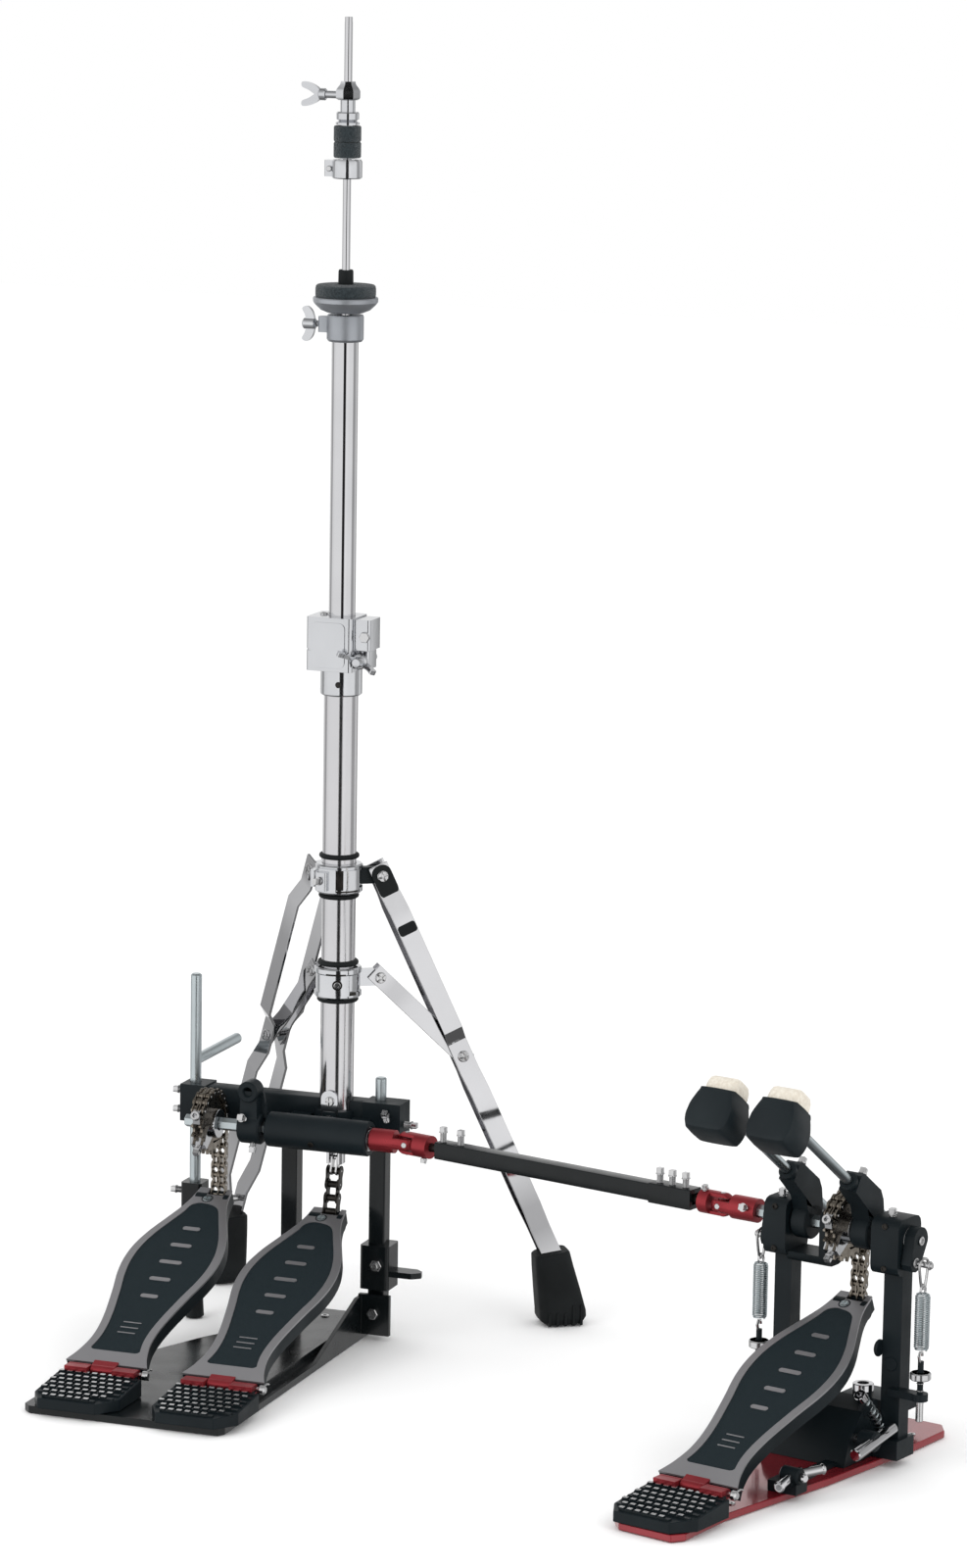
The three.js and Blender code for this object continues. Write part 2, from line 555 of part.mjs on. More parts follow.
// Heavy chain from the clevis down to the toe of the hi-hat footboard.
function hihatChain() {
  const pinZ = ROD.bottom - 17;
  const toe = HEELS.y + toeY(HEELS.hihatPitch);
  const end = [toe, 108];
  const links = [
    [2.4, pinZ + 3], [3, pinZ - 6], [end[0] + 4, end[1]], [end[0] - 4, end[1]],
    [-3, pinZ - 6], [-2.4, pinZ + 3],
  ];
  const tongue = cut(profileX(links.reverse(), -3.2, 3.2), barX(2 + GAP, -8, 8, 0, pinZ, 10));
  const outline = [[1, pinZ - 12], [-7, pinZ - 12], [end[0] - 4, end[1] + 1], [end[0] + 4, end[1] + 1]];
  const plates = profileX(outline.reverse(), -5.8, 5.8);
  return join(tongue, plates);
}

function buildStand() {
  add(left, 'lower_tube', lowerTube(), CHROME);
  add(left, 'height_clamp', heightClamp(), CHROME);
  add(left, 'height_clamp_wing', clampWing(), CHROME);
  add(left, 'upper_tube', upperTube(), CHROME);
  add(left, 'cymbal_seat', cymbalSeat(), GREY_CAST);
  add(left, 'seat_felt', seatFelt(), FELT);
  add(left, 'pull_rod', pullRod(), CHROME);
  add(left, 'hihat_chain', hihatChain(), CHAIN_METAL);
  add(left, 'clutch_body', clutchBody(), CHROME);
  add(left, 'clutch_felt', clutchFelt(), FELT);
}

// ---------------------------------------------------------------- legs
// Both collars: a ring round the tube with one slotted lug toward each leg.
function legCollar(z0, z1, pivotZ) {
  const { collarR, collarBore, pivotR, rightTurn, leftTurn } = LEGS;
  let body = barZ(collarR, z0, z1);
  for (const turn of [rightTurn, leftTurn]) {
    const lug = join(box(10, pivotR + 1, -4, 4, pivotZ - 7, pivotZ + 7), barY(7, -4, 4, pivotR, pivotZ, 16));
    body = join(body, cut(lug, barY(3, -9, 9, pivotR, pivotZ, 12)).rotateZ(turn * DEG));
  }
  return cut(body, barZ(collarBore, z0 - 5, z1 + 5));
}

// Points along the leg's centre line, in the plane of one leg: [r, z].
const alongLeg = (distance) => [
  LEGS.pivotR + distance * Math.sin(LEGS.lean * DEG), LEGS.upperZ - distance * Math.cos(LEGS.lean * DEG),
];

// Outline of a bent flat bar of the given half thickness, mitred at its bends.
function bentBar(line, half) {
  const sides = [[], []];
  line.forEach(([x, y], i) => {
    const [px, py] = line[Math.max(i - 1, 0)];
    const [nx, ny] = line[Math.min(i + 1, line.length - 1)];
    const first = i ? new THREE.Vector2(x - px, y - py) : new THREE.Vector2(nx - x, ny - y);
    const last = i < line.length - 1 ? new THREE.Vector2(nx - x, ny - y) : first.clone();
    first.normalize();
    last.normalize();
    const normal = new THREE.Vector2(-first.y - last.y, first.x + last.x).normalize();
    const reach = half / (normal.x * -first.y + normal.y * first.x);
    sides[0].push([x + normal.x * reach, y + normal.y * reach]);
    sides[1].push([x - normal.x * reach, y - normal.y * reach]);
  });
  return [...sides[0], ...sides[1].reverse()];
}

// Two bent straps side by side, held apart by pins, and the pivot pin in the collar's lug.
function leg() {
  const { length, strap, thick, lean } = LEGS;
  const pieces = [];
  for (const side of [-1, 1]) {
    const outline = bentBar(STRAP_LINE.map(([s, t]) => [s, side * t]), thick / 2);
    pieces.push(slab(outline, -strap / 2, strap / 2).rotateY(Math.PI / 2));
  }
  pieces.push(barY(2.6, -7.6, 7.6, 0, 0, 12));
  pieces.push(barY(3, -16, 16, 0, -50, 12));
  pieces.push(barY(3, -14.5, 14.5, 0, -222, 12));
  pieces.push(box(-strap / 2 + 3, strap / 2 - 3, -7.7, 7.7, -length, -length + 12));
  const body = join(...pieces);
  return body.rotateY(-lean * DEG).translate(LEGS.pivotR, 0, LEGS.upperZ);
}

// Strap from the lower collar to the leg, outside the lug and inside the leg's straps.
function brace() {
  const { pivotR, lowerZ, toJoint, thick } = LEGS;
  const [jr, jz] = alongLeg(toJoint);
  const angle = Math.atan2(jz - lowerZ, jr - pivotR);
  const reach = Math.hypot(jr - pivotR, jz - lowerZ);
  const pieces = [];
  for (const side of [-1, 1]) {
    const inner = side * 4.4;
    const outer = side * (4.4 + thick * 0.7);
    pieces.push(box(-8, reach + 7, Math.min(inner, outer), Math.max(inner, outer), -7.5, 7.5));
  }
  pieces.push(box(30, 44, -5, 5, -4, 4));
  pieces.push(barY(2.6, -6, 6, 0, 0, 12));
  return join(...pieces).rotateY(-angle).translate(pivotR, 0, lowerZ);
}

// Rubber boot: stands upright on the floor, with a slanted pocket for the end of the leg.
function boot() {
  const { bootHalf, pocket, length, lean, strap, thick, pivotR, upperZ } = LEGS;
  const block = slab(BOOT_SIDE, -bootHalf, bootHalf).rotateX(Math.PI / 2);
  const pocketX = strap / 2 + GAP;
  const pocketY = STRAP_LINE[STRAP_LINE.length - 1][1] + thick / 2 + GAP;
  const hollow = box(-pocketX, pocketX, -pocketY, pocketY, -length - GAP, -length + pocket + 20)
    .rotateY(-lean * DEG).translate(pivotR, 0, upperZ);
  return cut(block, hollow);
}

function buildLegs() {
  const { upperBottom, upperTop, upperZ, lowerBottom, lowerTop, lowerZ, rightTurn, leftTurn } = LEGS;
  add(left, 'upper_leg_collar', legCollar(upperBottom, upperTop, upperZ), CHROME);
  add(left, 'lower_leg_collar', legCollar(lowerBottom, lowerTop, lowerZ), CHROME);
  const ring = cut(barZ(LEGS.collarR - 2.5, lowerBottom - 4, lowerBottom - GAP),
    barZ(LEGS.collarBore, 250, 350));
  add(left, 'leg_swivel_ring', ring, RUBBER);
  for (const [name, turn] of [['right', rightTurn], ['left', leftTurn]]) {
    const side = new THREE.Group();
    side.rotation.z = turn * DEG;
    left.add(side);
    add(side, `${name}_leg`, leg(), CHROME);
    add(side, `${name}_brace`, brace(), CHROME);
    add(side, `${name}_leg_foot`, boot(), RUBBER);
  }
}

// ---------------------------------------------------------------- main pedal
const main = new THREE.Group();
main.position.set(MAIN.x, MAIN.y, 0);
main.rotation.z = MAIN.turn * DEG;
part.add(main);

function mainBasePlate() {
  const plan = [
    [-24, -72], [24, -74], [31, -64], [29, -5], [37, 60], [44, 120], [49, 200], [50.5, 245],
    [50.5, 288], [40, 302], [-40, 302], [-50.5, 288], [-50.5, 245], [-49, 200], [-44, 120],
    [-37, 60], [-33, -5], [-34.5, -62],
  ];
  return slab(plan, 0, BASE_TOP);
}

// Post with the bearing housing on top, the spring bracket and its threaded rod.
function mainPost(x, width, housing, spring) {
  const { y, depth } = POSTS;
  const post = box(x - width / 2, x + width / 2, y - depth / 2, y + depth / 2,
    BASE_TOP + GAP, HOUSING.z0 + 2);
  const block = profileX(roundedRect(y - 18, y + 17, HOUSING.z0, HOUSING.z1, 8, 3), housing[0], housing[1]);
  const inward = Math.sign(x);
  const arm = box(Math.min(x, spring), Math.max(x, spring) + 0.01, SPRING.y - 5, SPRING.y + 5, 57, 63);
  const tip = barZ(6.5, 57, 63, spring, SPRING.y, 16);
  const rod = barZ(2.4, 40, SPRING.z0 - 8, spring, SPRING.y, 12);
  const nut = barZ(7.5, 74, 80, spring, SPRING.y, 20);
  const flange = box(x - width / 2 - 3, x + width / 2 + 3, y - 14, y + 12, BASE_TOP + GAP, 22);
  const body = join(post, block, arm, tip, rod, nut, flange);
  return cut(body, barX(AXLE.bore, inward * 55 - 40, inward * 55 + 40, AXLE.ahead, AXLE.z));
}

// U-shaped bracket that carries the inner end of the slave beater's shaft.
function bearingYoke() {
  const outer = profileX(roundedRect(POSTS.y - 15, POSTS.y + 13, 151, 197, 9, 3), -44, -6);
  const hollow = box(-42.5, -13, POSTS.y - 30, POSTS.y + 30, 160, 220);
  return cut(outer, hollow);
}

// Casting between the posts that carries the hoop clamp.
function hoopClampCasting() {
  const x0 = POSTS.leftX + POSTS.leftW / 2 + 3 + GAP;
  const x1 = POSTS.rightX - POSTS.rightW / 2 - 3 - GAP;
  const side = [[150, BASE_TOP + GAP], [236, BASE_TOP + GAP], [236, 30], [216, 44], [196, 52],
    [176, 46], [158, 28]];
  const block = profileX(side, x0, x1);
  const bolt = barZ(8.5, 48, 58, 25, 201, 16);
  const screw = barBetween(5, [37, 181, 44], [41, 181, 52], 12);
  const keyClip = join(box(22, 48, 66, 82, BASE_TOP + GAP, 15), barY(4, 62, 100, 42, 16, 12));
  const web = box(22, 32, 80, 152, BASE_TOP + GAP, 10);
  return cut(join(block, bolt, screw, keyClip, web), barX(3 + GAP, 20, 45, TEE.y, TEE.z, 12));
}

// Lever that presses the drum hoop on the front of the base plate.
function hoopClampJaw() {
  const side = [[238, 18], [250, 17], [262, 22], [296, 22], [299, 28], [280, 33], [252, 33], [240, 31]];
  return profileX(side, -26, 26);
}

// Tee screw at the side of the casting.
function hoopClampScrew() {
  const { y, z } = TEE;
  const tilt = 9 * DEG;
  const half = 25;
  const bar = barBetween(3, [57, y - half * Math.cos(tilt), z - half * Math.sin(tilt)],
    [57, y + half * Math.cos(tilt), z + half * Math.sin(tilt)], 12);
  return join(bar, barX(5, 50, 60, y, z, 14), barX(3, 22, 52, y, z, 12));
}

// Cam on a shaft between two X positions, with the pin that the spring's stirrup hangs from.
function springCam(from, to, pinFrom, pinTo) {
  const lobe = [];
  for (let i = 0; i <= 10; i += 1) {
    const a = (-10 + 200 * i / 10) * DEG;
    lobe.push([11 * Math.cos(a), 11 * Math.sin(a)]);
  }
  const pinY = SPRING.y - AXLE.ahead;
  const pinZ = SPRING.pinZ - AXLE.z;
  lobe.push([pinY - 8, pinZ - 4], [pinY, pinZ - 7], [pinY + 8, pinZ - 3]);
  return join(profileX(lobe, from, to), barX(SPRING.pinR, pinFrom, pinTo, pinY, pinZ, 12));
}

// Stirrup that hangs from the cam's pin and takes the hook of the spring. Its hole is a
// short slot, because the pin swings on an arc while the stirrup moves along its chord.
function springHook(x) {
  const { pinZ, pinR, y, z1 } = SPRING;
  const outline = [[-7.5, pinZ + 1], [0, pinZ + 6], [7.5, pinZ + 1], [2.2, z1 + 1.2], [-2.2, z1 + 1.2]]
    .map(([dy, z]) => [y + dy, z]);
  const halfSwing = 25.5 * DEG;
  const toPin = Math.atan2(pinZ - AXLE.z, y - AXLE.ahead) - halfSwing;
  const slot = [0, 0.9, 1.8].map((bulge) => barX(pinR + 0.5, x - 10, x + 10,
    y + bulge * Math.cos(toPin), pinZ + bulge * Math.sin(toPin), 12));
  return cut(profileX(outline.reverse(), x - 2.5, x + 2.5), ...slot);
}

// Block clamped on the shaft, with the slanted socket of the beater rod on its drum side.
function beaterHub(halfWidth, onOwnShaft) {
  const { angle, back, rodR } = BEATERS;
  const hub = barX(14.5, -halfWidth, halfWidth, 0, 0);
  const socket = profileX(SOCKET_SIDE, -halfWidth, halfWidth);
  const tilted = turnedAbout(socket, X_AXIS, -angle, [0, 0, 0]);
  const rodHole = turnedAbout(barY(rodR + GAP, -60, 60, 0, back, 16), X_AXIS, -angle, [0, 0, 0]);
  const body = cut(join(hub, tilted), rodHole);
  return onOwnShaft ? body : cut(body, hexBore());
}

// Rod and head are drawn with the rod along Y at height `back`, then tilted about the shaft.
function beaterRod() {
  const { rodR, back, angle, tail, reach } = BEATERS;
  return turnedAbout(barY(rodR, -reach, tail, 0, back, 16), X_AXIS, -angle, [0, 0, 0]);
}

function beaterHead() {
  const { back, angle, rodR, reach, headFrom, headTo, bodyHigh } = BEATERS;
  const { feltFrom, feltTo, feltHalf, feltHigh } = BEATERS;
  const left = BEATER_OUTLINE.map(([x, z]) => [-x, z]).reverse();
  const outline = [...BEATER_OUTLINE, ...left];
  const body = slab(outline.map(([x, z]) => [x, -z]), headFrom, headTo).rotateX(-Math.PI / 2);
  const feltPlan = roundedRect(-feltHalf, feltHalf, feltFrom, feltTo, 9);
  const felt = slab(feltPlan, bodyHigh - 1, feltHigh);
  const bore = barY(rodR + GAP, -reach - GAP, headTo + 5, 0, back, 16);
  return turnedAbout(cut(join(body, felt), bore), X_AXIS, -angle, [0, 0, 0]);
}

function buildMainFrame() {
  add(main, 'main_base_plate', mainBasePlate(), RED);
  add(main, 'main_heel_plate', heelPlate(), BLACK);
  const board = add(main, 'main_footboard', footboard(MAIN.pitch), SATIN);
  board.position.z = BOARD.heelZ;
  board.rotation.x = MAIN.pitch * DEG;
  const rightPost = mainPost(POSTS.rightX, POSTS.rightW, [HOUSING.rightX0, HOUSING.rightX1], SPRING.rightX);
  const leftPost = mainPost(POSTS.leftX, POSTS.leftW, [HOUSING.leftX0, HOUSING.leftX1], SPRING.leftX);
  add(main, 'main_post_right', rightPost, BLACK);
  const shaftHole = barX(AXLE.bore, -80, 0, AXLE.ahead, AXLE.z);
  add(main, 'main_post_left', cut(join(leftPost, bearingYoke()), shaftHole), BLACK);
  add(main, 'hoop_clamp_casting', hoopClampCasting(), BLACK);
  add(main, 'hoop_clamp_jaw', hoopClampJaw(), BLACK);
  add(main, 'hoop_clamp_screw', hoopClampScrew(), CHROME);
}

function buildMainShaft() {
  const at = (mesh, x) => mesh.position.set(x, AXLE.ahead, AXLE.z);
  at(add(main, 'main_hex_shaft', join(hexShaft(-3.5, 66), springCam(62, 71, 68, 86)), ZINC), 0);
  at(add(main, 'main_sprocket', sprocket(7), CHAIN_METAL), CHAIN.offset - 0.5);
  at(add(main, 'main_beater_hub', beaterHub(8, false), BLACK), BEATERS.mainX);
  at(add(main, 'main_beater_rod', beaterRod(), ZINC), BEATERS.mainX);
  at(add(main, 'main_beater_head', beaterHead(), RUBBER), BEATERS.mainX);
  const chain = add(main, 'main_chain', chainRun(toeY(MAIN.pitch)), CHAIN_METAL);
  chain.position.set(CHAIN.offset - 0.5, AXLE.ahead + CHAIN.pitchRadius, AXLE.z);
}

function buildSlaveBeater() {
  const at = (mesh, x) => mesh.position.set(x, AXLE.ahead, AXLE.z);
  const shaftAndCam = join(hexShaft(MAIN_JOINT_X + YOKE.floor + 4, -5.8), springCam(-68, -63.4, -77, -66));
  const hub = join(beaterHub(7.2, true), shaftAndCam.translate(-BEATERS.slaveX, 0, 0));
  at(add(main, 'slave_beater_hub', hub, BLACK), BEATERS.slaveX);
  at(add(main, 'slave_beater_rod', beaterRod(), ZINC), BEATERS.slaveX);
  at(add(main, 'slave_beater_head', beaterHead(), RUBBER), BEATERS.slaveX);
  const inLength = YOKE_LENGTH.mainIn;
  const yokeIn = yokeWithCross('y', inLength, hexSocket(inLength));
  at(add(main, 'main_yoke_in', yokeIn, RED), MAIN_JOINT_X);
}

function buildSprings() {
  for (const [name, x] of [['right', SPRING.rightX], ['left', SPRING.leftX]]) {
    add(main, `${name}_spring`, barZ(SPRING.r, SPRING.z0, SPRING.z1, x, SPRING.y, 16), ZINC);
    add(main, `${name}_spring_hook`, springHook(x), ZINC);
  }
}

// ---------------------------------------------------------------- assembly
buildLeftFrame();
buildSlaveShaft();
buildStand();
buildLegs();
buildMainFrame();
buildMainShaft();
buildSlaveBeater();
buildSprings();
buildLinkage();

export default part;
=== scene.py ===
"""Double bass drum pedal with a hi-hat stand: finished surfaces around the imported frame.

Lengths are in millimetres until a piece is placed. +Z is up, +Y away from the player.
"""

import math

import bmesh
import bpy
from mathutils import Matrix, Vector
from mathutils.geometry import tessellate_polygon


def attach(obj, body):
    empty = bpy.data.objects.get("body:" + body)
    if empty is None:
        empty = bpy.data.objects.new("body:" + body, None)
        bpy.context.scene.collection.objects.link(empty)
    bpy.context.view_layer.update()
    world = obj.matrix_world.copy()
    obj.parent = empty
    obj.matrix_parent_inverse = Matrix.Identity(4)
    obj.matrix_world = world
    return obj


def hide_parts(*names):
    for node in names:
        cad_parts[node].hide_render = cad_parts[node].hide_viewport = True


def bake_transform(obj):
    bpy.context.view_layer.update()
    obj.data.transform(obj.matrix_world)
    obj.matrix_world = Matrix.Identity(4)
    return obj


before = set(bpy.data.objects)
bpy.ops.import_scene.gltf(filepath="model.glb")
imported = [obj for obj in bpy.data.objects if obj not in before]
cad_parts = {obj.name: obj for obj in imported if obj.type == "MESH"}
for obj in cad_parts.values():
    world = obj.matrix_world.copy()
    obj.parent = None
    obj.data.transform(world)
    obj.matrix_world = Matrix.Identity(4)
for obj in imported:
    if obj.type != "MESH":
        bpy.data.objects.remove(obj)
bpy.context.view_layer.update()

# ---------------------------------------------------------------- dimensions of the frame
MM = 0.001
AXLE_Z = 183.5
AXLE_AHEAD = 205.5
HEEL_Y = -242.5
LEFT_AXLE_Y = HEEL_Y + AXLE_AHEAD
BASE_TOP = 6.0
HEEL_EDGE_Z = 27.0
HINGE_Y, HINGE_Z, HINGE_R = -5.0, 22.3, 4.3
SQUARE_HALF = 7.15
STEM_Z = 20.0
HUB_R, HUB_BORE = 14.5, 5.9
SLAVE_X, HIHAT_X = -104.0, -1.0
PITCH = {"slave": 21.9, "hihat": 20.1, "main": 23.0}
MAIN_AT, MAIN_TURN = (437.8, -353.0, 0.0), -15.0
LEFT_JOINT = (78.6, LEFT_AXLE_Y, AXLE_Z)
MAIN_JOINT_X = -112.3
CHAIN_X, CHAIN_PITCH, CHAIN_RADIUS = 2.5, 8.0, 26.0
CHAIN_LOW = 117.0
TOE = 248.5
HALF_WIDTHS = [
    (0, 36), (15, 30), (35, 26.3), (60, 27.6), (95, 34), (120, 39.6), (140, 41.8),
    (160, 40.6), (180, 35.6), (200, 27.8), (220, 20), (234, 16.4), (248.5, 14.6),
]
BEATER_TILT = 35.6
BEATER_X = {"main": 21.9, "slave": -34.0}
SPRING_Y, SPRING_LOW, SPRING_HIGH, SPRING_PIN_Z = 199.0, 97.0, 145.0, 167.0
SPRING_X = {"right": 78.0, "left": -71.5}
LEG_TURN = {"right": 34.0, "left": 141.0}
LEG_PIVOT, LEG_TOP, BRACE_TOP, LEG_LEAN = 35.5, 397.6, 310.0, 24.6
LEG_JOINT, STRAP_WIDTH, STRAP_THICK = 173.4, 17.0, 2.4
CLAMP_WING_X, CLAMP_WING_Z = 23.0, 583.0


# ---------------------------------------------------------------- placing
def shift(x, y, z):
    return Matrix.Translation((x, y, z))


def turn(degrees, axis):
    return Matrix.Rotation(math.radians(degrees), 4, axis)


LEFT = Matrix.Identity(4)
MAIN = shift(*MAIN_AT) @ turn(MAIN_TURN, "Z")
MAIN_AXLE = MAIN @ shift(0, AXLE_AHEAD, AXLE_Z)
SLAVE_AXLE = shift(0, LEFT_AXLE_Y, AXLE_Z)


def link_frame():
    far = MAIN @ Vector((MAIN_JOINT_X, AXLE_AHEAD, AXLE_Z))
    span = far - Vector(LEFT_JOINT)
    bend = math.degrees(math.atan2(span.y, span.x))
    return shift(*LEFT_JOINT) @ turn(bend, "Z"), span.length


LINK, LINK_LENGTH = link_frame()


def facing(at, way):
    """A frame at a point whose Z axis looks along way."""
    return Matrix.Translation(at) @ Vector(way).to_track_quat("Z", "Y").to_matrix().to_4x4()


# Sends a shape's X along Y, its Y up and its Z along X.
ACROSS = Matrix(((0, 0, 1, 0), (1, 0, 0, 0), (0, 1, 0, 0), (0, 0, 0, 1)))
# Sends a shape's Y up and its Z towards the player.
UPRIGHT = turn(90, "X")


# ---------------------------------------------------------------- materials
def noise_of(tree, scale, detail, stretch=None):
    """A noise in object space, stretched along an axis where the metal was drawn or brushed."""
    place = tree.nodes.new("ShaderNodeTexCoord")
    source = place.outputs["Object"]
    if stretch:
        mapping = tree.nodes.new("ShaderNodeMapping")
        mapping.inputs["Scale"].default_value = stretch
        tree.links.new(source, mapping.inputs["Vector"])
        source = mapping.outputs["Vector"]
    made = tree.nodes.new("ShaderNodeTexNoise")
    made.inputs["Scale"].default_value = scale
    made.inputs["Detail"].default_value = detail
    tree.links.new(source, made.inputs["Vector"])
    return made.outputs["Fac"]


def ranged(tree, source, low, high):
    made = tree.nodes.new("ShaderNodeMapRange")
    made.inputs["From Min"].default_value = 0.3
    made.inputs["From Max"].default_value = 0.7
    made.inputs["To Min"].default_value = low
    made.inputs["To Max"].default_value = high
    tree.links.new(source, made.inputs["Value"])
    return made.outputs["Result"]


def surface(name, tones, metallic, rough, grain=None, wave=None, patch=18.0, stretch=None, **fixed):
    """Principled surface: two tones mixed in patches, a roughness range, fine grain and a slow wave.

    grain and wave are (scale, strength, height in metres)."""
    made = bpy.data.materials.new(name)
    made.use_nodes = True
    tree = made.node_tree
    shader = tree.nodes["Principled BSDF"]
    shader.inputs["Metallic"].default_value = metallic
    for socket, value in fixed.items():
        shader.inputs[socket.replace("_", " ")].default_value = value
    mix = tree.nodes.new("ShaderNodeMix")
    mix.data_type = "RGBA"
    mix.inputs["A"].default_value = (*tones[0], 1)
    mix.inputs["B"].default_value = (*tones[1], 1)
    patches = noise_of(tree, patch, 5.0, stretch)
    tree.links.new(ranged(tree, patches, 0.0, 1.0), mix.inputs["Factor"])
    tree.links.new(mix.outputs["Result"], shader.inputs["Base Color"])
    smudges = noise_of(tree, patch * 2.3, 6.0, stretch)
    tree.links.new(ranged(tree, smudges, *rough), shader.inputs["Roughness"])
    normal = None
    for layer in (wave, grain):
        if layer is None:
            continue
        scale, strength, distance = layer
        bump = tree.nodes.new("ShaderNodeBump")
        bump.inputs["Strength"].default_value = strength
        bump.inputs["Distance"].default_value = distance
        tree.links.new(noise_of(tree, scale, 4.0, stretch), bump.inputs["Height"])
        if normal is not None:
            tree.links.new(normal, bump.inputs["Normal"])
        normal = bump.outputs["Normal"]
    if normal is not None:
        tree.links.new(normal, shader.inputs["Normal"])
    return made


GLOSS = surface("gloss_black", [(0.003, 0.0045, 0.005), (0.006, 0.008, 0.009)], 0.0, (0.16, 0.3),
                grain=(900, 0.08, 0.0002), wave=(60, 0.04, 0.001), Specular_IOR_Level=0.22,
                Coat_Weight=0.2, Coat_Roughness=0.12)
CAST = surface("satin_black", [(0.0045, 0.008, 0.010), (0.008, 0.013, 0.016)], 0.0, (0.34, 0.5),
               grain=(1500, 0.25, 0.0002), wave=(140, 0.05, 0.001), Specular_IOR_Level=0.2)
RED = surface("red_anodised", [(0.27, 0.024, 0.032), (0.35, 0.036, 0.045)], 0.7, (0.26, 0.38),
              grain=(1800, 0.12, 0.0001), patch=40)
RED_GLOSS = surface("red_base", [(0.25, 0.016, 0.025), (0.31, 0.024, 0.034)], 0.35, (0.1, 0.18),
                    grain=(800, 0.05, 0.0001), wave=(25, 0.05, 0.001), Coat_Weight=0.5,
                    Coat_Roughness=0.06)
CHROME = surface("chrome", [(0.62, 0.62, 0.635), (0.67, 0.67, 0.685)], 1.0, (0.035, 0.075),
                 wave=(35, 0.03, 0.001))
SOFT_CHROME = surface("soft_chrome", [(0.62, 0.615, 0.63), (0.67, 0.665, 0.68)], 1.0, (0.13, 0.18),
                      wave=(20, 0.05, 0.001))
CAST_CHROME = surface("cast_chrome", [(0.60, 0.61, 0.63), (0.68, 0.69, 0.71)], 1.0, (0.06, 0.14),
                      wave=(90, 0.12, 0.001))
ZINC = surface("zinc", [(0.50, 0.56, 0.58), (0.60, 0.66, 0.68)], 1.0, (0.24, 0.36),
               grain=(700, 0.15, 0.0002), patch=14)
STEEL = surface("bright_steel", [(0.62, 0.62, 0.63), (0.72, 0.72, 0.72)], 1.0, (0.14, 0.26),
                grain=(900, 0.08, 0.0002), patch=60)
SATIN = surface("satin_aluminium", [(0.35, 0.345, 0.36), (0.40, 0.395, 0.41)], 0.8, (0.38, 0.48),
                grain=(1400, 0.3, 0.0002), wave=(200, 0.05, 0.0005), stretch=(1.0, 0.2, 1.0))
GREY_CAST = surface("grey_cast", [(0.36, 0.38, 0.41), (0.45, 0.47, 0.50)], 0.9, (0.34, 0.46),
                    grain=(1300, 0.35, 0.0002))
GRIT = surface("grit_inset", [(0.006, 0.013, 0.017), (0.013, 0.024, 0.029)], 0.0, (0.7, 0.9),
               grain=(2300, 0.9, 0.0006), wave=(600, 0.5, 0.0005), patch=1500, Specular_IOR_Level=0.25)
NICKEL = surface("chain_nickel", [(0.17, 0.145, 0.115), (0.34, 0.305, 0.26)], 1.0, (0.2, 0.36),
                 grain=(1200, 0.15, 0.0002), patch=160)
DARK_STEEL = surface("dark_steel", [(0.02, 0.019, 0.018), (0.055, 0.05, 0.045)], 0.9, (0.28, 0.42),
                     grain=(1200, 0.2, 0.0002), patch=160)
RUBBER = surface("rubber", [(0.005, 0.0065, 0.007), (0.010, 0.0125, 0.0135)], 0.0, (0.5, 0.68),
                 grain=(1600, 0.35, 0.0002), Specular_IOR_Level=0.22)
FELT = surface("dark_felt", [(0.010, 0.015, 0.018), (0.034, 0.046, 0.052)], 0.0, (0.9, 1.0),
               grain=(1900, 1.0, 0.0011), wave=(420, 0.6, 0.001), patch=700,
               Specular_IOR_Level=0.1, Sheen_Weight=0.25, Sheen_Roughness=0.5)
CREAM = surface("beater_felt", [(0.70, 0.63, 0.52), (0.84, 0.79, 0.69)], 0.0, (0.9, 1.0),
                grain=(1700, 0.9, 0.0010), wave=(350, 0.5, 0.0012), patch=420,
                Sheen_Weight=0.3, Sheen_Roughness=0.6)
BEATER = surface("beater_plastic", [(0.006, 0.010, 0.013), (0.010, 0.016, 0.019)], 0.0, (0.4, 0.52),
                 grain=(1500, 0.3, 0.0002), Specular_IOR_Level=0.25)


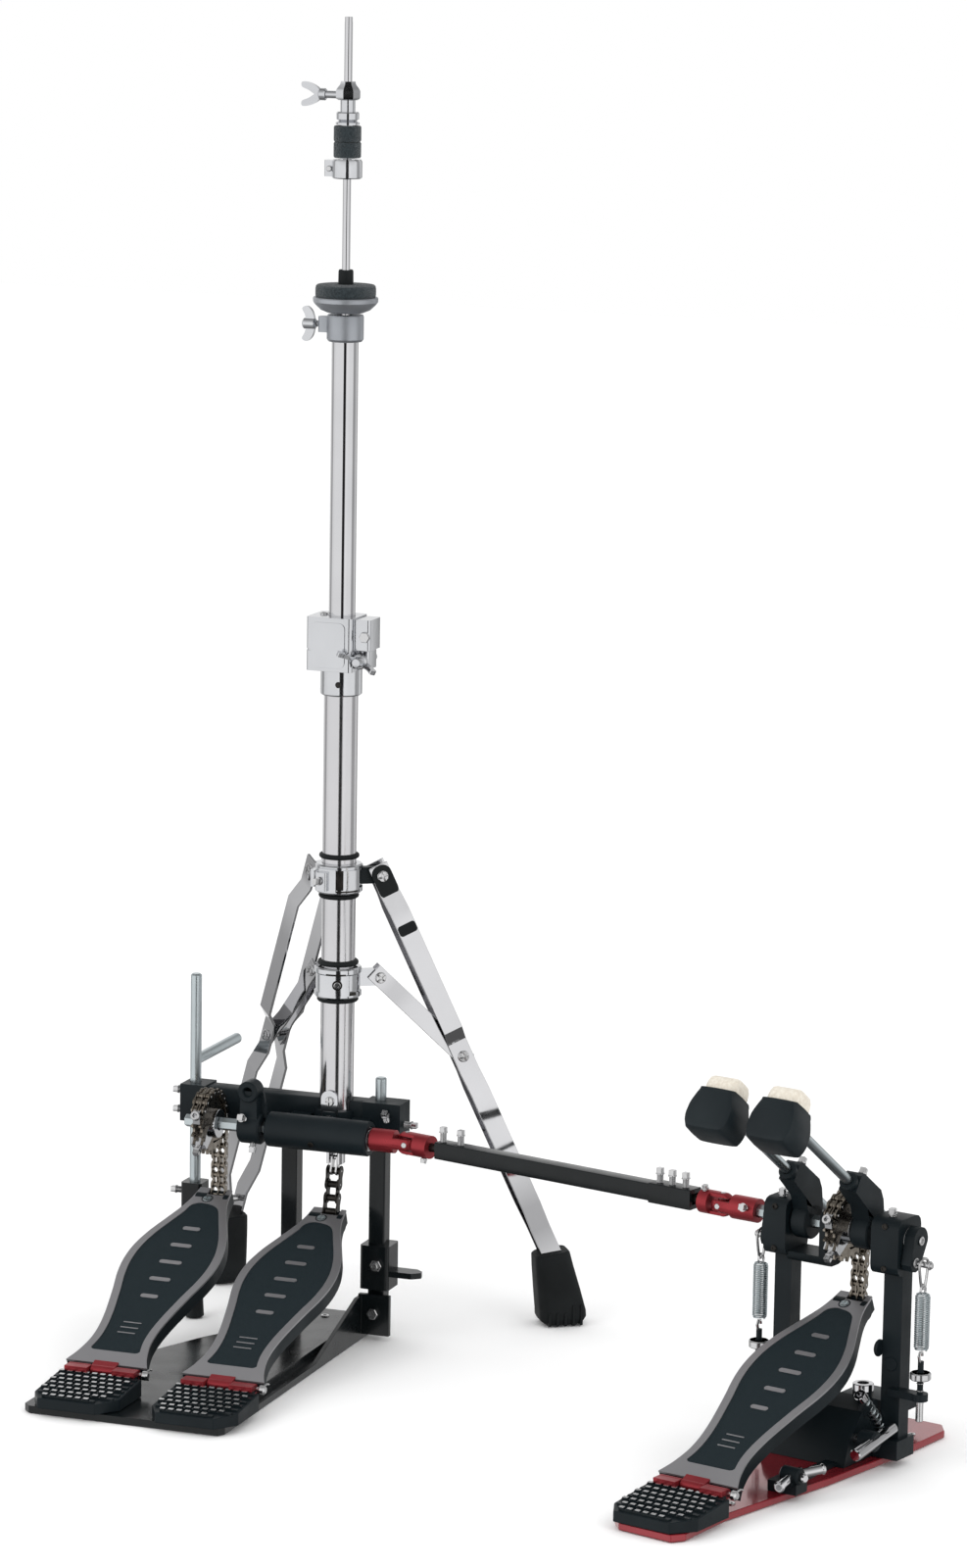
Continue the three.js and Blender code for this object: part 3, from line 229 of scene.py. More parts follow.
# ---------------------------------------------------------------- mesh kit
class Piece:
    """One visible piece: shapes are added in millimetres in its own frame, each in the material in use."""

    def __init__(self, name, body, material, place=LEFT):
        self.name = name
        self.body = body
        self.place = place
        self.bm = bmesh.new()
        self.materials = [material]
        self.current = 0

    def use(self, material):
        if material not in self.materials:
            self.materials.append(material)
        self.current = self.materials.index(material)
        return self

    def faces(self, corners, faces, at=None):
        made = [self.bm.verts.new(at @ Vector(c) if at else Vector(c)) for c in corners]
        for face in faces:
            try:
                self.bm.faces.new([made[i] for i in face]).material_index = self.current
            except ValueError:
                continue
        return self

    def prism(self, loops, low, high, at=None):
        """A flat outline, with holes as further loops, raised along Z."""
        if not isinstance(loops[0][0], (tuple, list, Vector)):
            loops = [loops]
        flat = [p for loop in loops for p in loop]
        count = len(flat)
        caps = tessellate_polygon([[Vector((p[0], p[1], 0)) for p in loop] for loop in loops])
        corners = [(p[0], p[1], z) for z in (low, high) for p in flat]
        faces = [tuple(reversed(t)) for t in caps] + [tuple(i + count for i in t) for t in caps]
        start = 0
        for loop in loops:
            size = len(loop)
            for i in range(size):
                a, b = start + i, start + (i + 1) % size
                faces.append((a, b, b + count, a + count))
            start += size
        return self.faces(corners, faces, at)

    def box(self, x0, x1, y0, y1, z0, z1, at=None):
        return self.prism([(x0, y0), (x1, y0), (x1, y1), (x0, y1)], z0, z1, at)

    def lathe(self, profile, at=None, sides=40, start=0.0):
        """(radius, z) points turned about Z. A profile that leaves the axis closes on itself."""
        corners, rings = [], []
        for r, z in profile:
            if r < 1e-6:
                rings.append([len(corners)])
                corners.append((0, 0, z))
                continue
            rings.append(list(range(len(corners), len(corners) + sides)))
            for i in range(sides):
                a = math.radians(start) + 2 * math.pi * i / sides
                corners.append((r * math.cos(a), r * math.sin(a), z))
        pairs = list(zip(rings, rings[1:]))
        if len(rings[0]) > 1 and len(rings[-1]) > 1:
            pairs.append((rings[-1], rings[0]))
        faces = []
        for low, high in pairs:
            for i in range(sides):
                j = (i + 1) % sides
                if len(low) == 1 and len(high) == 1:
                    continue
                if len(low) == 1:
                    faces.append((low[0], high[j], high[i]))
                elif len(high) == 1:
                    faces.append((low[i], low[j], high[0]))
                else:
                    faces.append((low[i], low[j], high[j], high[i]))
        return self.faces(corners, faces, at)

    def rod(self, a, b, r, sides=32, edge=0.5, end=None, start=0.0):
        """A round bar with broken edges from a to b; end is the radius at b."""
        way = Vector(b) - Vector(a)
        long = way.length
        last = r if end is None else end
        e = min(edge, long / 3, r / 2, last / 2)
        profile = [(0, 0), (r - e, 0), (r, e), (last, long - e), (last - e, long), (0, long)]
        return self.lathe(profile, facing(a, way), sides, start)

    def tube(self, a, b, r, bore, sides=48, edge=0.4):
        way = Vector(b) - Vector(a)
        long = way.length
        profile = [(bore, 0), (r - edge, 0), (r, edge), (r, long - edge), (r - edge, long), (bore, long)]
        return self.lathe(profile, facing(a, way), sides)

    def ring(self, at, way, radius, wire, sides=40, around=10):
        profile = [(radius + wire * math.cos(t), wire * math.sin(t))
                   for t in (2 * math.pi * i / around for i in range(around))]
        return self.lathe(profile, facing(at, way), sides)

    def sweep(self, path, r, sides=10, closed=False):
        """A round wire along a path, closed on itself or with flat ends."""
        points = [Vector(p) for p in path]
        count = len(points)
        corners, faces = [], []
        side = None
        for i, p in enumerate(points):
            before = points[i - 1] if closed or i else p
            after = points[(i + 1) % count] if closed or i < count - 1 else p
            way = (after - before).normalized()
            if side is None:
                side = way.orthogonal().normalized()
            side = (side - way * side.dot(way)).normalized()
            other = way.cross(side)
            for k in range(sides):
                a = 2 * math.pi * k / sides
                corners.append(p + side * (r * math.cos(a)) + other * (r * math.sin(a)))
        last = count if closed else count - 1
        for i in range(last):
            j = (i + 1) % count
            for k in range(sides):
                n = (k + 1) % sides
                faces.append((i * sides + k, i * sides + n, j * sides + n, j * sides + k))
        if not closed:
            faces.append(tuple(reversed(range(sides))))
            faces.append(tuple(range((count - 1) * sides, count * sides)))
        return self.faces(corners, faces)

    def take(self, node):
        """The shape of a CAD node, brought into this piece's frame."""
        copy = bmesh.new()
        copy.from_mesh(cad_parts[node].data)
        copy.transform(self.place.inverted() @ Matrix.Scale(1 / MM, 4))
        bmesh.ops.remove_doubles(copy, verts=copy.verts, dist=1e-3)
        bmesh.ops.dissolve_limit(copy, angle_limit=math.radians(0.6), verts=copy.verts, edges=copy.edges)
        index = {v: i for i, v in enumerate(copy.verts)}
        self.faces([v.co.copy() for v in copy.verts], [[index[v] for v in f.verts] for f in copy.faces])
        copy.free()
        return self

    def done(self, slot, replaces=(), bevel=0.0, smooth=32, steps=2):
        self.bm.transform(Matrix.Scale(MM, 4) @ self.place)
        bmesh.ops.remove_doubles(self.bm, verts=self.bm.verts, dist=2e-7)
        bmesh.ops.recalc_face_normals(self.bm, faces=self.bm.faces)
        mesh = bpy.data.meshes.new(self.name)
        self.bm.to_mesh(mesh)
        self.bm.free()
        for material in self.materials:
            mesh.materials.append(material)
        mesh.shade_smooth()
        mesh.set_sharp_from_angle(angle=math.radians(smooth))
        made = bpy.data.objects.new(self.name, mesh)
        bpy.context.scene.collection.objects.link(made)
        if bevel:
            rounding = made.modifiers.new("edges", "BEVEL")
            rounding.width = bevel * MM
            rounding.segments = steps
            rounding.limit_method = "ANGLE"
            rounding.angle_limit = math.radians(34)
            rounding.harden_normals = True
            rounding.use_clamp_overlap = True
        if replaces:
            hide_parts(*replaces)
        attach(made, self.body)
        return made


def arc(r, first, last, steps, x=0.0, y=0.0):
    """Points of an arc between two angles in degrees."""
    angles = [math.radians(first + (last - first) * i / steps) for i in range(steps + 1)]
    return [(x + r * math.cos(a), y + r * math.sin(a)) for a in angles]


def hole(r, sides, x=0.0, y=0.0):
    """Outline of a round hole, taken clockwise."""
    angles = [-2 * math.pi * i / sides for i in range(sides)]
    return [(x + r * math.cos(a), y + r * math.sin(a)) for a in angles]


def rounded(x0, x1, y0, y1, r, steps=6):
    """Rectangle with round corners."""
    corners = [(x1 - r, y1 - r), (x0 + r, y1 - r), (x0 + r, y0 + r), (x1 - r, y0 + r)]
    return [p for i, (x, y) in enumerate(corners) for p in arc(r, 90 * i, 90 * i + 90, steps, x, y)]


def square_tube(edge, x=0.0, y=0.0):
    """Section of the square steel tube, round at its corners."""
    return rounded(x - SQUARE_HALF, x + SQUARE_HALF, y - SQUARE_HALF, y + SQUARE_HALF, edge, 3)


def between(p0, p1, p2, p3, t):
    """Point of a smooth curve from p1 to p2, at a share t of the way."""
    return tuple(
        0.5 * (2 * b + (c - a) * t + (2 * a - 5 * b + 4 * c - d) * t * t + (3 * b - a - 3 * c + d) * t ** 3)
        for a, b, c, d in zip(p0, p1, p2, p3))


def smooth_line(points, steps=8):
    """Points of a smooth curve through the given ones."""
    made = []
    for i in range(len(points) - 1):
        p0, p1 = points[max(i - 1, 0)], points[i]
        p2, p3 = points[i + 1], points[min(i + 2, len(points) - 1)]
        for k in range(steps):
            made.append(between(p0, p1, p2, p3, k / steps))
    made.append(tuple(points[-1]))
    return made


def smooth_loop(points, steps):
    """Points of a smooth closed curve through the given ones."""
    made = []
    count = len(points)
    for i in range(count):
        p0, p1, p2, p3 = (points[(i + k - 1) % count] for k in range(4))
        for k in range(steps):
            made.append(between(p0, p1, p2, p3, k / steps))
    return made


def loft(piece, rings):
    """A closed skin through rings of equal count, from the lowest to the highest."""
    size = len(rings[0])
    corners = [c for ring in rings for c in ring]
    faces = [tuple(reversed(range(size))), tuple(range((len(rings) - 1) * size, len(rings) * size))]
    for i in range(len(rings) - 1):
        for k in range(size):
            n = (k + 1) % size
            faces.append((i * size + k, i * size + n, (i + 1) * size + n, (i + 1) * size + k))
    piece.faces(corners, faces)


# ---------------------------------------------------------------- screws and wings
def key_screw(piece, at, way, length=10.0, r=2.9, head=4.6):
    """Threaded screw with a square head for a drum key."""
    piece.use(STEEL)
    profile = [(0, -2)]
    z = -2.0
    while z < length - head - 0.8:
        profile += [(r * 0.84, z), (r, z + 0.4)]
        z += 0.8
    profile += [(r * 0.84, z), (r + 0.7, z), (r + 0.7, z + 0.9), (0, z + 0.9)]
    piece.lathe(profile, facing(at, way), 20)
    s = r * 0.86
    top = rounded(-s, s, -s, s, 0.5, 2)
    piece.prism(top, z + 0.8, length, facing(at, way))


def cap_screw(piece, at, way, r, high, hole=0.5, material=STEEL):
    """Round head with a socket."""
    piece.use(material)
    profile = [(0, high * 0.35), (r * hole, high * 0.35), (r * hole, high), (r - 0.5, high), (r, high - 0.5),
               (r, 0), (0, 0)]
    piece.lathe(profile, facing(at, way), 28)


def pan_screw(piece, at, way, r, high, material=STEEL):
    """Domed head with a crossed slot, drawn as four quarter pads on a low dome."""
    piece.use(material)
    frame_at = facing(at, way)
    dome = [(0, high * 0.62), (r * 0.6, high * 0.55), (r * 0.9, high * 0.3), (r, 0), (0, -0.5)]
    piece.lathe(dome, frame_at, 28)
    gap = r * 0.12
    for quarter in range(4):
        pad = [(gap, gap), (r * 0.86, gap), (r * 0.6, r * 0.6), (gap, r * 0.86)]
        piece.prism(pad, high * 0.2, high, frame_at @ turn(90 * quarter, "Z"))


def hex_bolt(piece, at, way, r, high):
    piece.use(STEEL)
    profile = [(0, 0), (r * 0.93, 0), (r, 0.7), (r, high - 0.7), (r * 0.9, high), (0, high)]
    piece.lathe(profile, facing(at, way), 6)


def wing(piece, at, way, spread, high, tilt):
    """Two rounded blades on a turned hub: the head of a wing screw."""
    piece.use(CAST_CHROME)
    here = facing(at, way) @ turn(tilt, "Z")
    hub = [(0, 0), (4.6, 0), (5.2, 1), (4.6, 6), (3.4, 9), (0, 9.6)]
    piece.lathe(hub, here, 28)
    blade = smooth_line([(2.5, 1), (6, 3.4), (spread * 0.62, high * 0.62), (spread - 3, high - 0.5),
                         (spread, high - 3.5), (spread - 1, high * 0.48), (spread * 0.6, high * 0.12),
                         (6.5, -1), (2.5, -0.6)], 5)
    for side in (0, 180):
        stand = here @ turn(side, "Z") @ UPRIGHT
        piece.prism(blade, -1.9, 1.9, stand)


# ---------------------------------------------------------------- footboards
def half_width(v):
    line = smooth_line([(float(a), float(b)) for a, b in HALF_WIDTHS], 10)
    for (v0, h0), (v1, h1) in zip(line, line[1:]):
        if v0 <= v <= v1 + 1e-6:
            return h0 + (h1 - h0) * (v - v0) / max(v1 - v0, 1e-6)
    return line[-1][1]


def board_outline(inset=0.0, notch=True):
    right = [(h - inset, v) for v, h in smooth_line([(float(a), float(b)) for a, b in HALF_WIDTHS], 6)]
    right = [(x, min(max(y, inset), TOE - inset)) for x, y in right]
    left = [(-x, y) for x, y in reversed(right)]
    if not notch:
        return right + left
    cut = [(10.3, TOE), (10.3, 240.5), (9.3, 239.5), (-4.3, 239.5), (-5.3, 240.5), (-5.3, TOE)]
    return right + cut + left


def inset_outline(margin=7.0):
    """The gritty field: square at the heel, following the waist, arched under the toe."""
    low, high = 20.0, 213.0
    count = 44
    right = []
    for i in range(count + 1):
        v = low + (high - low) * i / count
        right.append((half_width(v) - margin, v))
    corner = [(right[0][0] - 3.2, low - 3), (right[0][0] - 1, low - 2)]
    arch = smooth_line([right[-1], (right[-1][0] - 3.4, 220), (7, 224.5), (0, 226.5), (-7, 226.8),
                        (-right[-1][0] + 2.6, 222.5), (-right[-1][0], high)], 5)[1:-1]
    left = [(-x, v) for x, v in reversed(right)]
    return corner + right + arch + left + [(-x, v) for x, v in reversed(corner)]


def ring_around(outline, grow):
    """The outline moved outward by grow, point by point."""
    made = []
    count = len(outline)
    for i in range(count):
        a, b, c = (Vector(outline[(i + k) % count][:2]) for k in (-1, 0, 1))
        way = (c - a).normalized()
        made.append((b.x + way.y * grow, b.y - way.x * grow))
    return made


def footboard(name, body, base):
    board = base @ shift(0, 0, HEEL_EDGE_Z) @ turn(PITCH[name], "X")
    made = Piece(f"{name}_board_body", body, CAST, board)
    made.prism(board_outline(0.6), -4.6, -1.6)
    made.prism([board_outline(0.25, False), board_outline(3.6, False)], -13, -1.7)
    for x0, x1 in ((-14.9, -5.3), (10.3, 14.9)):
        made.tube((x0, 238, -7.2), (x1, 238, -7.2), 7.9, 3.0)
        made.rod((x0 + 1.5, 238, -7.2), (x1 - 1.5, 238, -7.2), 3.4)
    made.box(-2.2, 2.2, 8, 228, -11.5, -4)
    for v in (60, 120, 180):
        made.box(-half_width(v) + 2, half_width(v) - 2, v - 1.6, v + 1.6, -9.5, -4)
    made.use(STEEL)
    made.rod((-5.5, 243, -6.5), (10.5, 243, -6.5), 1.6)
    made.use(RED)
    back = Vector((0, -5.0, -4.7))
    hinge = turn(-PITCH[name], "X") @ back
    y, z = hinge.y, hinge.z
    made.tube((-10.6, y, z), (10.6, y, z), HINGE_R, 2.3)
    made.box(-10.6, 10.6, y, 1.5, z + 0.6, z + 4.0)
    made.done("satin_aluminium", replaces=(f"{name}_footboard",), bevel=0.5)

    field = inset_outline()
    rim = Piece(f"{name}_board_rim", body, SATIN, board)
    rim.prism([board_outline(), field], -1.7, 0)
    for i in range(5):
        v = 94 + 24 * i
        half = 6.5 + 3.5 * math.sin(math.pi * (i + 0.6) / 5.2)
        rim.prism(rounded(-half, half, v - 2.3, v + 2.3, 2.2), -0.9, -0.05)
    for v in (57, 50, 43):
        rim.prism(rounded(-8, 8, v - 0.6, v + 0.6, 0.5, 2), -0.9, -0.2)
    rim.done("satin_aluminium", bevel=0.35)

    grit = Piece(f"{name}_board_grit", body, GRIT, board)
    grit.prism(ring_around(field, -0.15), -1.65, -0.55)
    grit.done("satin_aluminium", bevel=0.15)
    screw = Piece(f"{name}_board_screw", body, STEEL, board)
    screw.use(CAST).ring((-2.6, 233.4, -0.1), (0, 0, 1), 4.6, 0.5)
    pan_screw(screw, (-2.6, 233.4, -0.1), (0, 0, 1), 3.9, 1.1, ZINC)
    screw.done("zinc")


# ---------------------------------------------------------------- heel plates
def heel_plate(name, body, base):
    plate = Piece(f"{name}_heel_block", body, CAST, base)
    plan = [(-36.5, -11.4), (-36.5, -60), (-28, -74), (22.5, -74), (36.5, -55.8), (36.5, -11.4)]
    bottom = BASE_TOP + 0.3

    def top(y):
        return 21.0 + (y + 11.4) * (6.0 / 62.6)

    count = len(plan)
    corners = [(x, y, bottom) for x, y in plan] + [(x, y, top(y)) for x, y in plan]
    faces = [tuple(reversed(range(count))), tuple(range(count, 2 * count))]
    faces += [(i, (i + 1) % count, (i + 1) % count + count, i + count) for i in range(count)]
    plate.faces(corners, faces)
    for side in (-1, 1):
        x0, x1 = sorted((side * 11.0, side * 31.0))
        plate.box(x0, x1, -13.4, -5, 18.7, 22.7)
    plate.done("black_cast", replaces=(f"{name}_heel_plate",), bevel=0.9)

    teeth = Piece(f"{name}_heel_teeth", body, CAST, base)
    for row in range(7):
        y = -69 + row * 8.7
        z = top(y)
        half = 34.5 - max(0.0, (-58 - y)) * 0.75
        stagger = 3.6 if row % 2 else 0.0
        short_left, short_right = (3.2, 6.0) if row == 0 else (0.0, 0.0)
        teeth.use(CAST)
        teeth.box(-half + short_left, half - short_right, y - 1.9, y + 1.9, z - 1, z + 1.3)
        x = -half + 3 + stagger
        while x < half - 3 - short_right:
            tilt = shift(x, y, z) @ turn(5.5, "X")
            teeth.use(CAST).prism(rounded(-2.5, 2.5, -1.7, 1.7, 0.5, 2), 0.2, 2.5, tilt)
            teeth.use(STEEL).prism(rounded(-2.2, 2.2, -1.4, 1.4, 0.5, 2), 2.3, 2.85, tilt)
            x += 7.2
    teeth.done("black_cast", bevel=0.12)

    hinge = Piece(f"{name}_hinge", body, RED, base)
    for side in (-1, 1):
        x0, x1 = sorted((side * 11.0, side * 31.0))
        hinge.tube((x0, HINGE_Y, HINGE_Z), (x1, HINGE_Y, HINGE_Z), HINGE_R, 2.0)
        hinge.box(x0, x1, -15, -5.4, 22.0, 26.3)
    hinge.use(STEEL)
    hinge.rod((-31.6, HINGE_Y, HINGE_Z), (34, HINGE_Y, HINGE_Z), 2.0)
    hinge.rod((33.5, HINGE_Y, HINGE_Z), (39.5, HINGE_Y, HINGE_Z), 3.9, edge=1.4)
    hinge.sweep([(36, -2.5, 24), (37.5, 2, 25.5), (37.8, 5.5, 24.2)], 0.9)
    hinge.done("red_anodised", bevel=0.35)


# ---------------------------------------------------------------- chains
PEDAL_CHAIN = {"width": 14.0, "high": 7.0, "roller": 2.35}


def link_plate(piece, a, b, x, thick, high):
    """Waisted side plate between two pins, in the YZ plane at x."""
    start, end = Vector((a[0], a[1])), Vector((b[0], b[1]))
    way = end - start
    long = way.length
    turned = math.atan2(way.y, way.x)
    r = high / 2
    waist = r * 0.74
    outline = arc(r, 90, 270, 8) + [(long / 2, -waist)] + arc(r, -90, 90, 8, long) + [(long / 2, waist)]
    stand = Matrix(((0, 0, 1, x), (1, 0, 0, start.x), (0, 1, 0, start.y), (0, 0, 0, 1)))
    piece.prism(outline, 0, thick, stand @ Matrix.Rotation(turned, 4, "Z"))


def roller_chain(piece, points, width, high, roller, double=True, first=0, plate=NICKEL):
    """Pins through a row of points in the YZ plane, with inner and outer plates between them."""
    half = width / 2
    for p in points:
        piece.use(STEEL).rod((-half + 0.2, p[0], p[1]), (half - 0.2, p[0], p[1]), 1.2, 16, 0.35)
        spans = [(-half + 2.2, -0.7), (0.7, half - 2.2)] if double else [(-half + 2.2, half - 2.2)]
        piece.use(plate)
        for x0, x1 in spans:
            piece.rod((x0, p[0], p[1]), (x1, p[0], p[1]), roller, 20, 0.3)
    for index, (a, b) in enumerate(zip(points, points[1:])):
        piece.use(plate)
        outer = (index + first) % 2 == 0
        if double:
            places = (-half + 0.5, -0.5, half - 1.5) if outer else (-half + 1.6, -1.6, 0.6, half - 2.6)
        else:
            places = (-half + 0.4, half - 1.6) if outer else (-half + 1.8, half - 3.0)
        for x in places:
            link_plate(piece, a, b, x, 1.0 if double else 1.2, high)


def wrapped_chain(name, body, place):
    made = Piece(name, body, NICKEL, place)
    step = 2 * math.degrees(math.asin(CHAIN_PITCH / 2 / CHAIN_RADIUS))
    count = 9
    points = []
    for i in range(count):
        a = math.radians(4 + step * i)
        points.append((CHAIN_RADIUS * math.cos(a), CHAIN_RADIUS * math.sin(a)))
    roller_chain(made, points, **PEDAL_CHAIN)
    return made


def sprocket(name, body, place):
    wheel = Piece(name, body, NICKEL, place)
    teeth = round(2 * math.pi * CHAIN_RADIUS / CHAIN_PITCH)
    outline = []
    for i in range(teeth):
        for share, r in ((0.0, 23.2), (0.22, 23.6), (0.4, 27.2), (0.6, 27.2), (0.78, 23.6)):
            a = math.radians(4) + 2 * math.pi * (i + share) / teeth
            outline.append((r * math.cos(a), r * math.sin(a)))
    for x in (-4.6, 2.4):
        wheel.prism([outline, hole(12, 24)], x, x + 2.2, ACROSS)
    wheel.use(CAST_CHROME)
    wheel.tube((-7.6, 0, 0), (10.5, 0, 0), 12.4, 5.9)
    wheel.prism([(-12, -2), (-26, 4), (-28, 14), (-21, 17), (-9, 10), (4, 8), (4, -8)], -3.2, 3.2, ACROSS)
    wheel.prism([(-6, -11), (-18, -19), (-23, -14), (-17, -3), (-6, 4)], -6.2, 6.2, ACROSS)
    key_screw(wheel, (0, -19, -14.5), (0, -0.75, -0.66), 11, 3.0)
    cap_screw(wheel, (0, -26.5, 11), (0, -0.9, 0.42), 4.0, 4.0)
    wheel.done("chain_steel", bevel=0.4)


def straight_chain(name, body, place, toe, node):
    made = Piece(name, body, NICKEL, place)
    drop = CHAIN_LOW - AXLE_Z - 2
    count = 9
    points = [(toe * i / (count - 1), drop * i / (count - 1)) for i in range(count)]
    roller_chain(made, points, first=1, **PEDAL_CHAIN)
    made.done("chain_steel", replaces=(node,), bevel=0.12)


def drive(name, body, chain_body, place, toe, replaced, chain_node):
    sprocket(f"{name}_sprocket_wheel", body, place)
    made = wrapped_chain(f"{name}_chain_wrap", body, place)
    made.done("chain_steel", replaces=replaced, bevel=0.12)
    run = place @ shift(0, CHAIN_RADIUS, 0)
    straight_chain(f"{name}_chain_links", chain_body, run, toe, chain_node)


def toe_ahead(name):
    return TOE * math.cos(math.radians(PITCH[name])) - 0.5 - (AXLE_AHEAD + CHAIN_RADIUS)


# ---------------------------------------------------------------- left frame
def build_pedals():
    footboard("slave", "slave_board", shift(SLAVE_X, HEEL_Y, 0))
    footboard("hihat", "hihat_board", shift(HIHAT_X, HEEL_Y, 0))
    footboard("main", "main_board", MAIN)
    heel_plate("slave", "left_frame", shift(SLAVE_X, HEEL_Y, 0))
    heel_plate("hihat", "left_frame", shift(HIHAT_X, HEEL_Y, 0))
    heel_plate("main", "main_frame", MAIN)


def build_left_frame():
    base = Piece("left_base", "left_frame", GLOSS).take("left_base_plate")
    hex_bolt(base, (38, -6, 24), (0, -1, 0), 5.2, 4)
    base.use(STEEL)
    for x, y in ((-125, -200), (-40, -215), (5, -215), (-20, 30), (10, 40)):
        cap_screw(base, (x, y, BASE_TOP), (0, 0, 1), 3.6, 1.2)
    base.done("black_steel", replaces=("left_base_plate",), bevel=0.9)

    beam = Piece("beam", "left_frame", CAST).take("cross_beam")
    key_screw(beam, (-140, 5, 199), (-1, 0, 0), 11)
    key_screw(beam, (-140, 5, 182), (-1, 0, 0), 11)
    key_screw(beam, (60, 5, 188), (1, 0, 0), 11)
    key_screw(beam, (48, -7, 194), (0, -0.6, 0.8), 9)
    beam.done("black_cast", replaces=("cross_beam",), bevel=0.8)

    tongue = Piece("tube_tongue", "left_frame", CAST_CHROME)
    tongue.prism(rounded(-7.5, 7.5, 182, 216, 7.2), 14.9, 16.8, UPRIGHT)
    pan_screw(tongue, (0.5, -16.8, 207), (0, -1, 0), 4.2, 2.2)
    pan_screw(tongue, (0.5, -16.8, 192), (0, -1, 0), 4.2, 2.2)
    tongue.done("chrome", bevel=0.4)

    posts = Piece("inner_post", "left_frame", GLOSS).take("frame_post_inner")
    posts.done("black_steel", replaces=("frame_post_inner",), bevel=0.9)
    outer = Piece("outer_post", "left_frame", GLOSS)
    outer.prism(square_tube(1.2, 37, 8), BASE_TOP + 0.3, 175)
    outer.prism(rounded(24, 50, -4, 22, 3), 44, 82)
    foot = [(47, -2), (70, -2), (77, 4), (76, 9), (70, 14), (47, 14)]
    outer.prism(foot, 56, 61)
    outer.use(ZINC).rod((37, 8, 172), (37, 8, 226), 4.75, 32, 1.0)
    hex_bolt(outer, (40, -4, 66), (0, -1, 0), 5.4, 4.5)
    outer.use(STEEL).rod((40, -8, 66), (40, -10.5, 66), 2.6)
    outer.done("black_steel", replaces=("frame_post_outer",), bevel=0.8)

    rod = Piece("outrigger", "left_frame", ZINC)
    x, y = -131, 5
    rod.rod((x, y, 40), (x, y, 301.4), 4.75, 40, 1.4)
    rod.rod((x, y, 226), (x, 98, 226), 4.6, 36, 2.0)
    rod.use(GLOSS).prism(rounded(x - 9.5, x + 9.5, y - 10, y + 10, 3), 60, 120)
    rod.use(RUBBER).rod((x, y, 0), (x, y, 42), 8.4, 32, 1.5, end=6.2)
    key_screw(rod, (x - 9, y, 111), (-1, 0, 0), 12.5)
    rod.done("zinc", replaces=("outrigger_rod",), bevel=0.5)

    housing = Piece("bearing_tube", "left_frame", CAST)
    housing.tube((-45.8, LEFT_AXLE_Y, AXLE_Z), (45.3, LEFT_AXLE_Y, AXLE_Z), 14.8, 10.6, 64, 1.2)
    housing.box(-36, -19, LEFT_AXLE_Y + 8, -5.3, 177, 193)
    housing.box(19, 34, LEFT_AXLE_Y + 8, -7.3, 177, 193)
    housing.use(DARK_STEEL).rod((-3, LEFT_AXLE_Y - 14.0, 177), (-3, LEFT_AXLE_Y - 14.9, 176.7), 2.6)
    for x0, x1 in ((-45.4, -40), (39.5, 44.9)):
        housing.use(STEEL).tube((x0, LEFT_AXLE_Y, AXLE_Z), (x1, LEFT_AXLE_Y, AXLE_Z), 10.7, 9.0)
        housing.tube((x0, LEFT_AXLE_Y, AXLE_Z), (x1, LEFT_AXLE_Y, AXLE_Z), 7.6, 6.3)
        housing.use(ZINC).tube((x0 + 0.5, LEFT_AXLE_Y, AXLE_Z), (x1 - 0.5, LEFT_AXLE_Y, AXLE_Z), 9.1, 7.5)
    housing.done("black_cast", replaces=("slave_bearing_housing",), bevel=0.3)


def build_slave_shaft():
    shaft = Piece("slave_shaft_bar", "slave_shaft", ZINC, SLAVE_AXLE)
    profile = [(0, -121.8), (4.9, -121.8), (5.5, -121.2), (5.5, 63.4), (4.9, 64), (0, 64)]
    shaft.lathe(profile, ACROSS, 6, 90)
    shaft.done("zinc", replaces=("slave_hex_shaft",), bevel=0.25)
    chain_x = SLAVE_X + CHAIN_X
    drive("slave", "slave_shaft", "slave_chain_run", SLAVE_AXLE @ shift(chain_x, 0, 0),
          toe_ahead("slave"), ("slave_sprocket",), "slave_chain")
    hub = Piece("slave_clamp_hub", "slave_shaft", CAST, SLAVE_AXLE @ shift(-61, 0, 0))
    hub.tube((-10, 0, 0), (10, 0, 0), 14, 5.9, 56, 1.6)
    hub.prism([(-8, 8), (-7.4, 24), (-7, 33), (7, 33), (7.4, 24), (8, 8)], -2.4, 10.6, UPRIGHT)
    hub.lathe([(0, -2.9), (8, -2.9), (9, -2), (9, 12), (8, 13), (4.6, 13), (3.6, 11.6), (3.4, 4), (0, 4)],
              shift(0, 0, 32.5) @ UPRIGHT, 48)
    hub.prism([(7, 36), (10, 30), (14, 9), (7, 9)], -2, 1.4, UPRIGHT)
    key_screw(hub, (-4, -11, 9), (0, -0.93, 0.36), 9)
    key_screw(hub, (3, -6, -12.5), (0, -0.3, -0.95), 8)
    hub.done("black_cast", replaces=("slave_hub",), bevel=0.7)


def yoke_piece(name, body, node, place, screw_at, ear_axis, owns_cross):
    """A fork with bright pin ends, and the middle of the cross where it carries one."""
    made = Piece(name, body, RED, place).take(node)
    for side in (-1, 1):
        way = (0, side, 0) if ear_axis == "y" else (0, 0, side)
        tip = Vector(way) * 9.0
        made.use(STEEL).rod(tip, tip + Vector(way) * 0.9, 2.3, 20, 0.3)
    if owns_cross:
        made.use(STEEL).ring((0, 0, 0), (0, 1, 0), 4.0, 0.9)
        made.use(RED).tube((0, 0, -4.9), (0, 0, 4.9), 4.4, 1.0)
    key_screw(made, *screw_at)
    made.done("red_anodised", replaces=(node,), bevel=0.45)


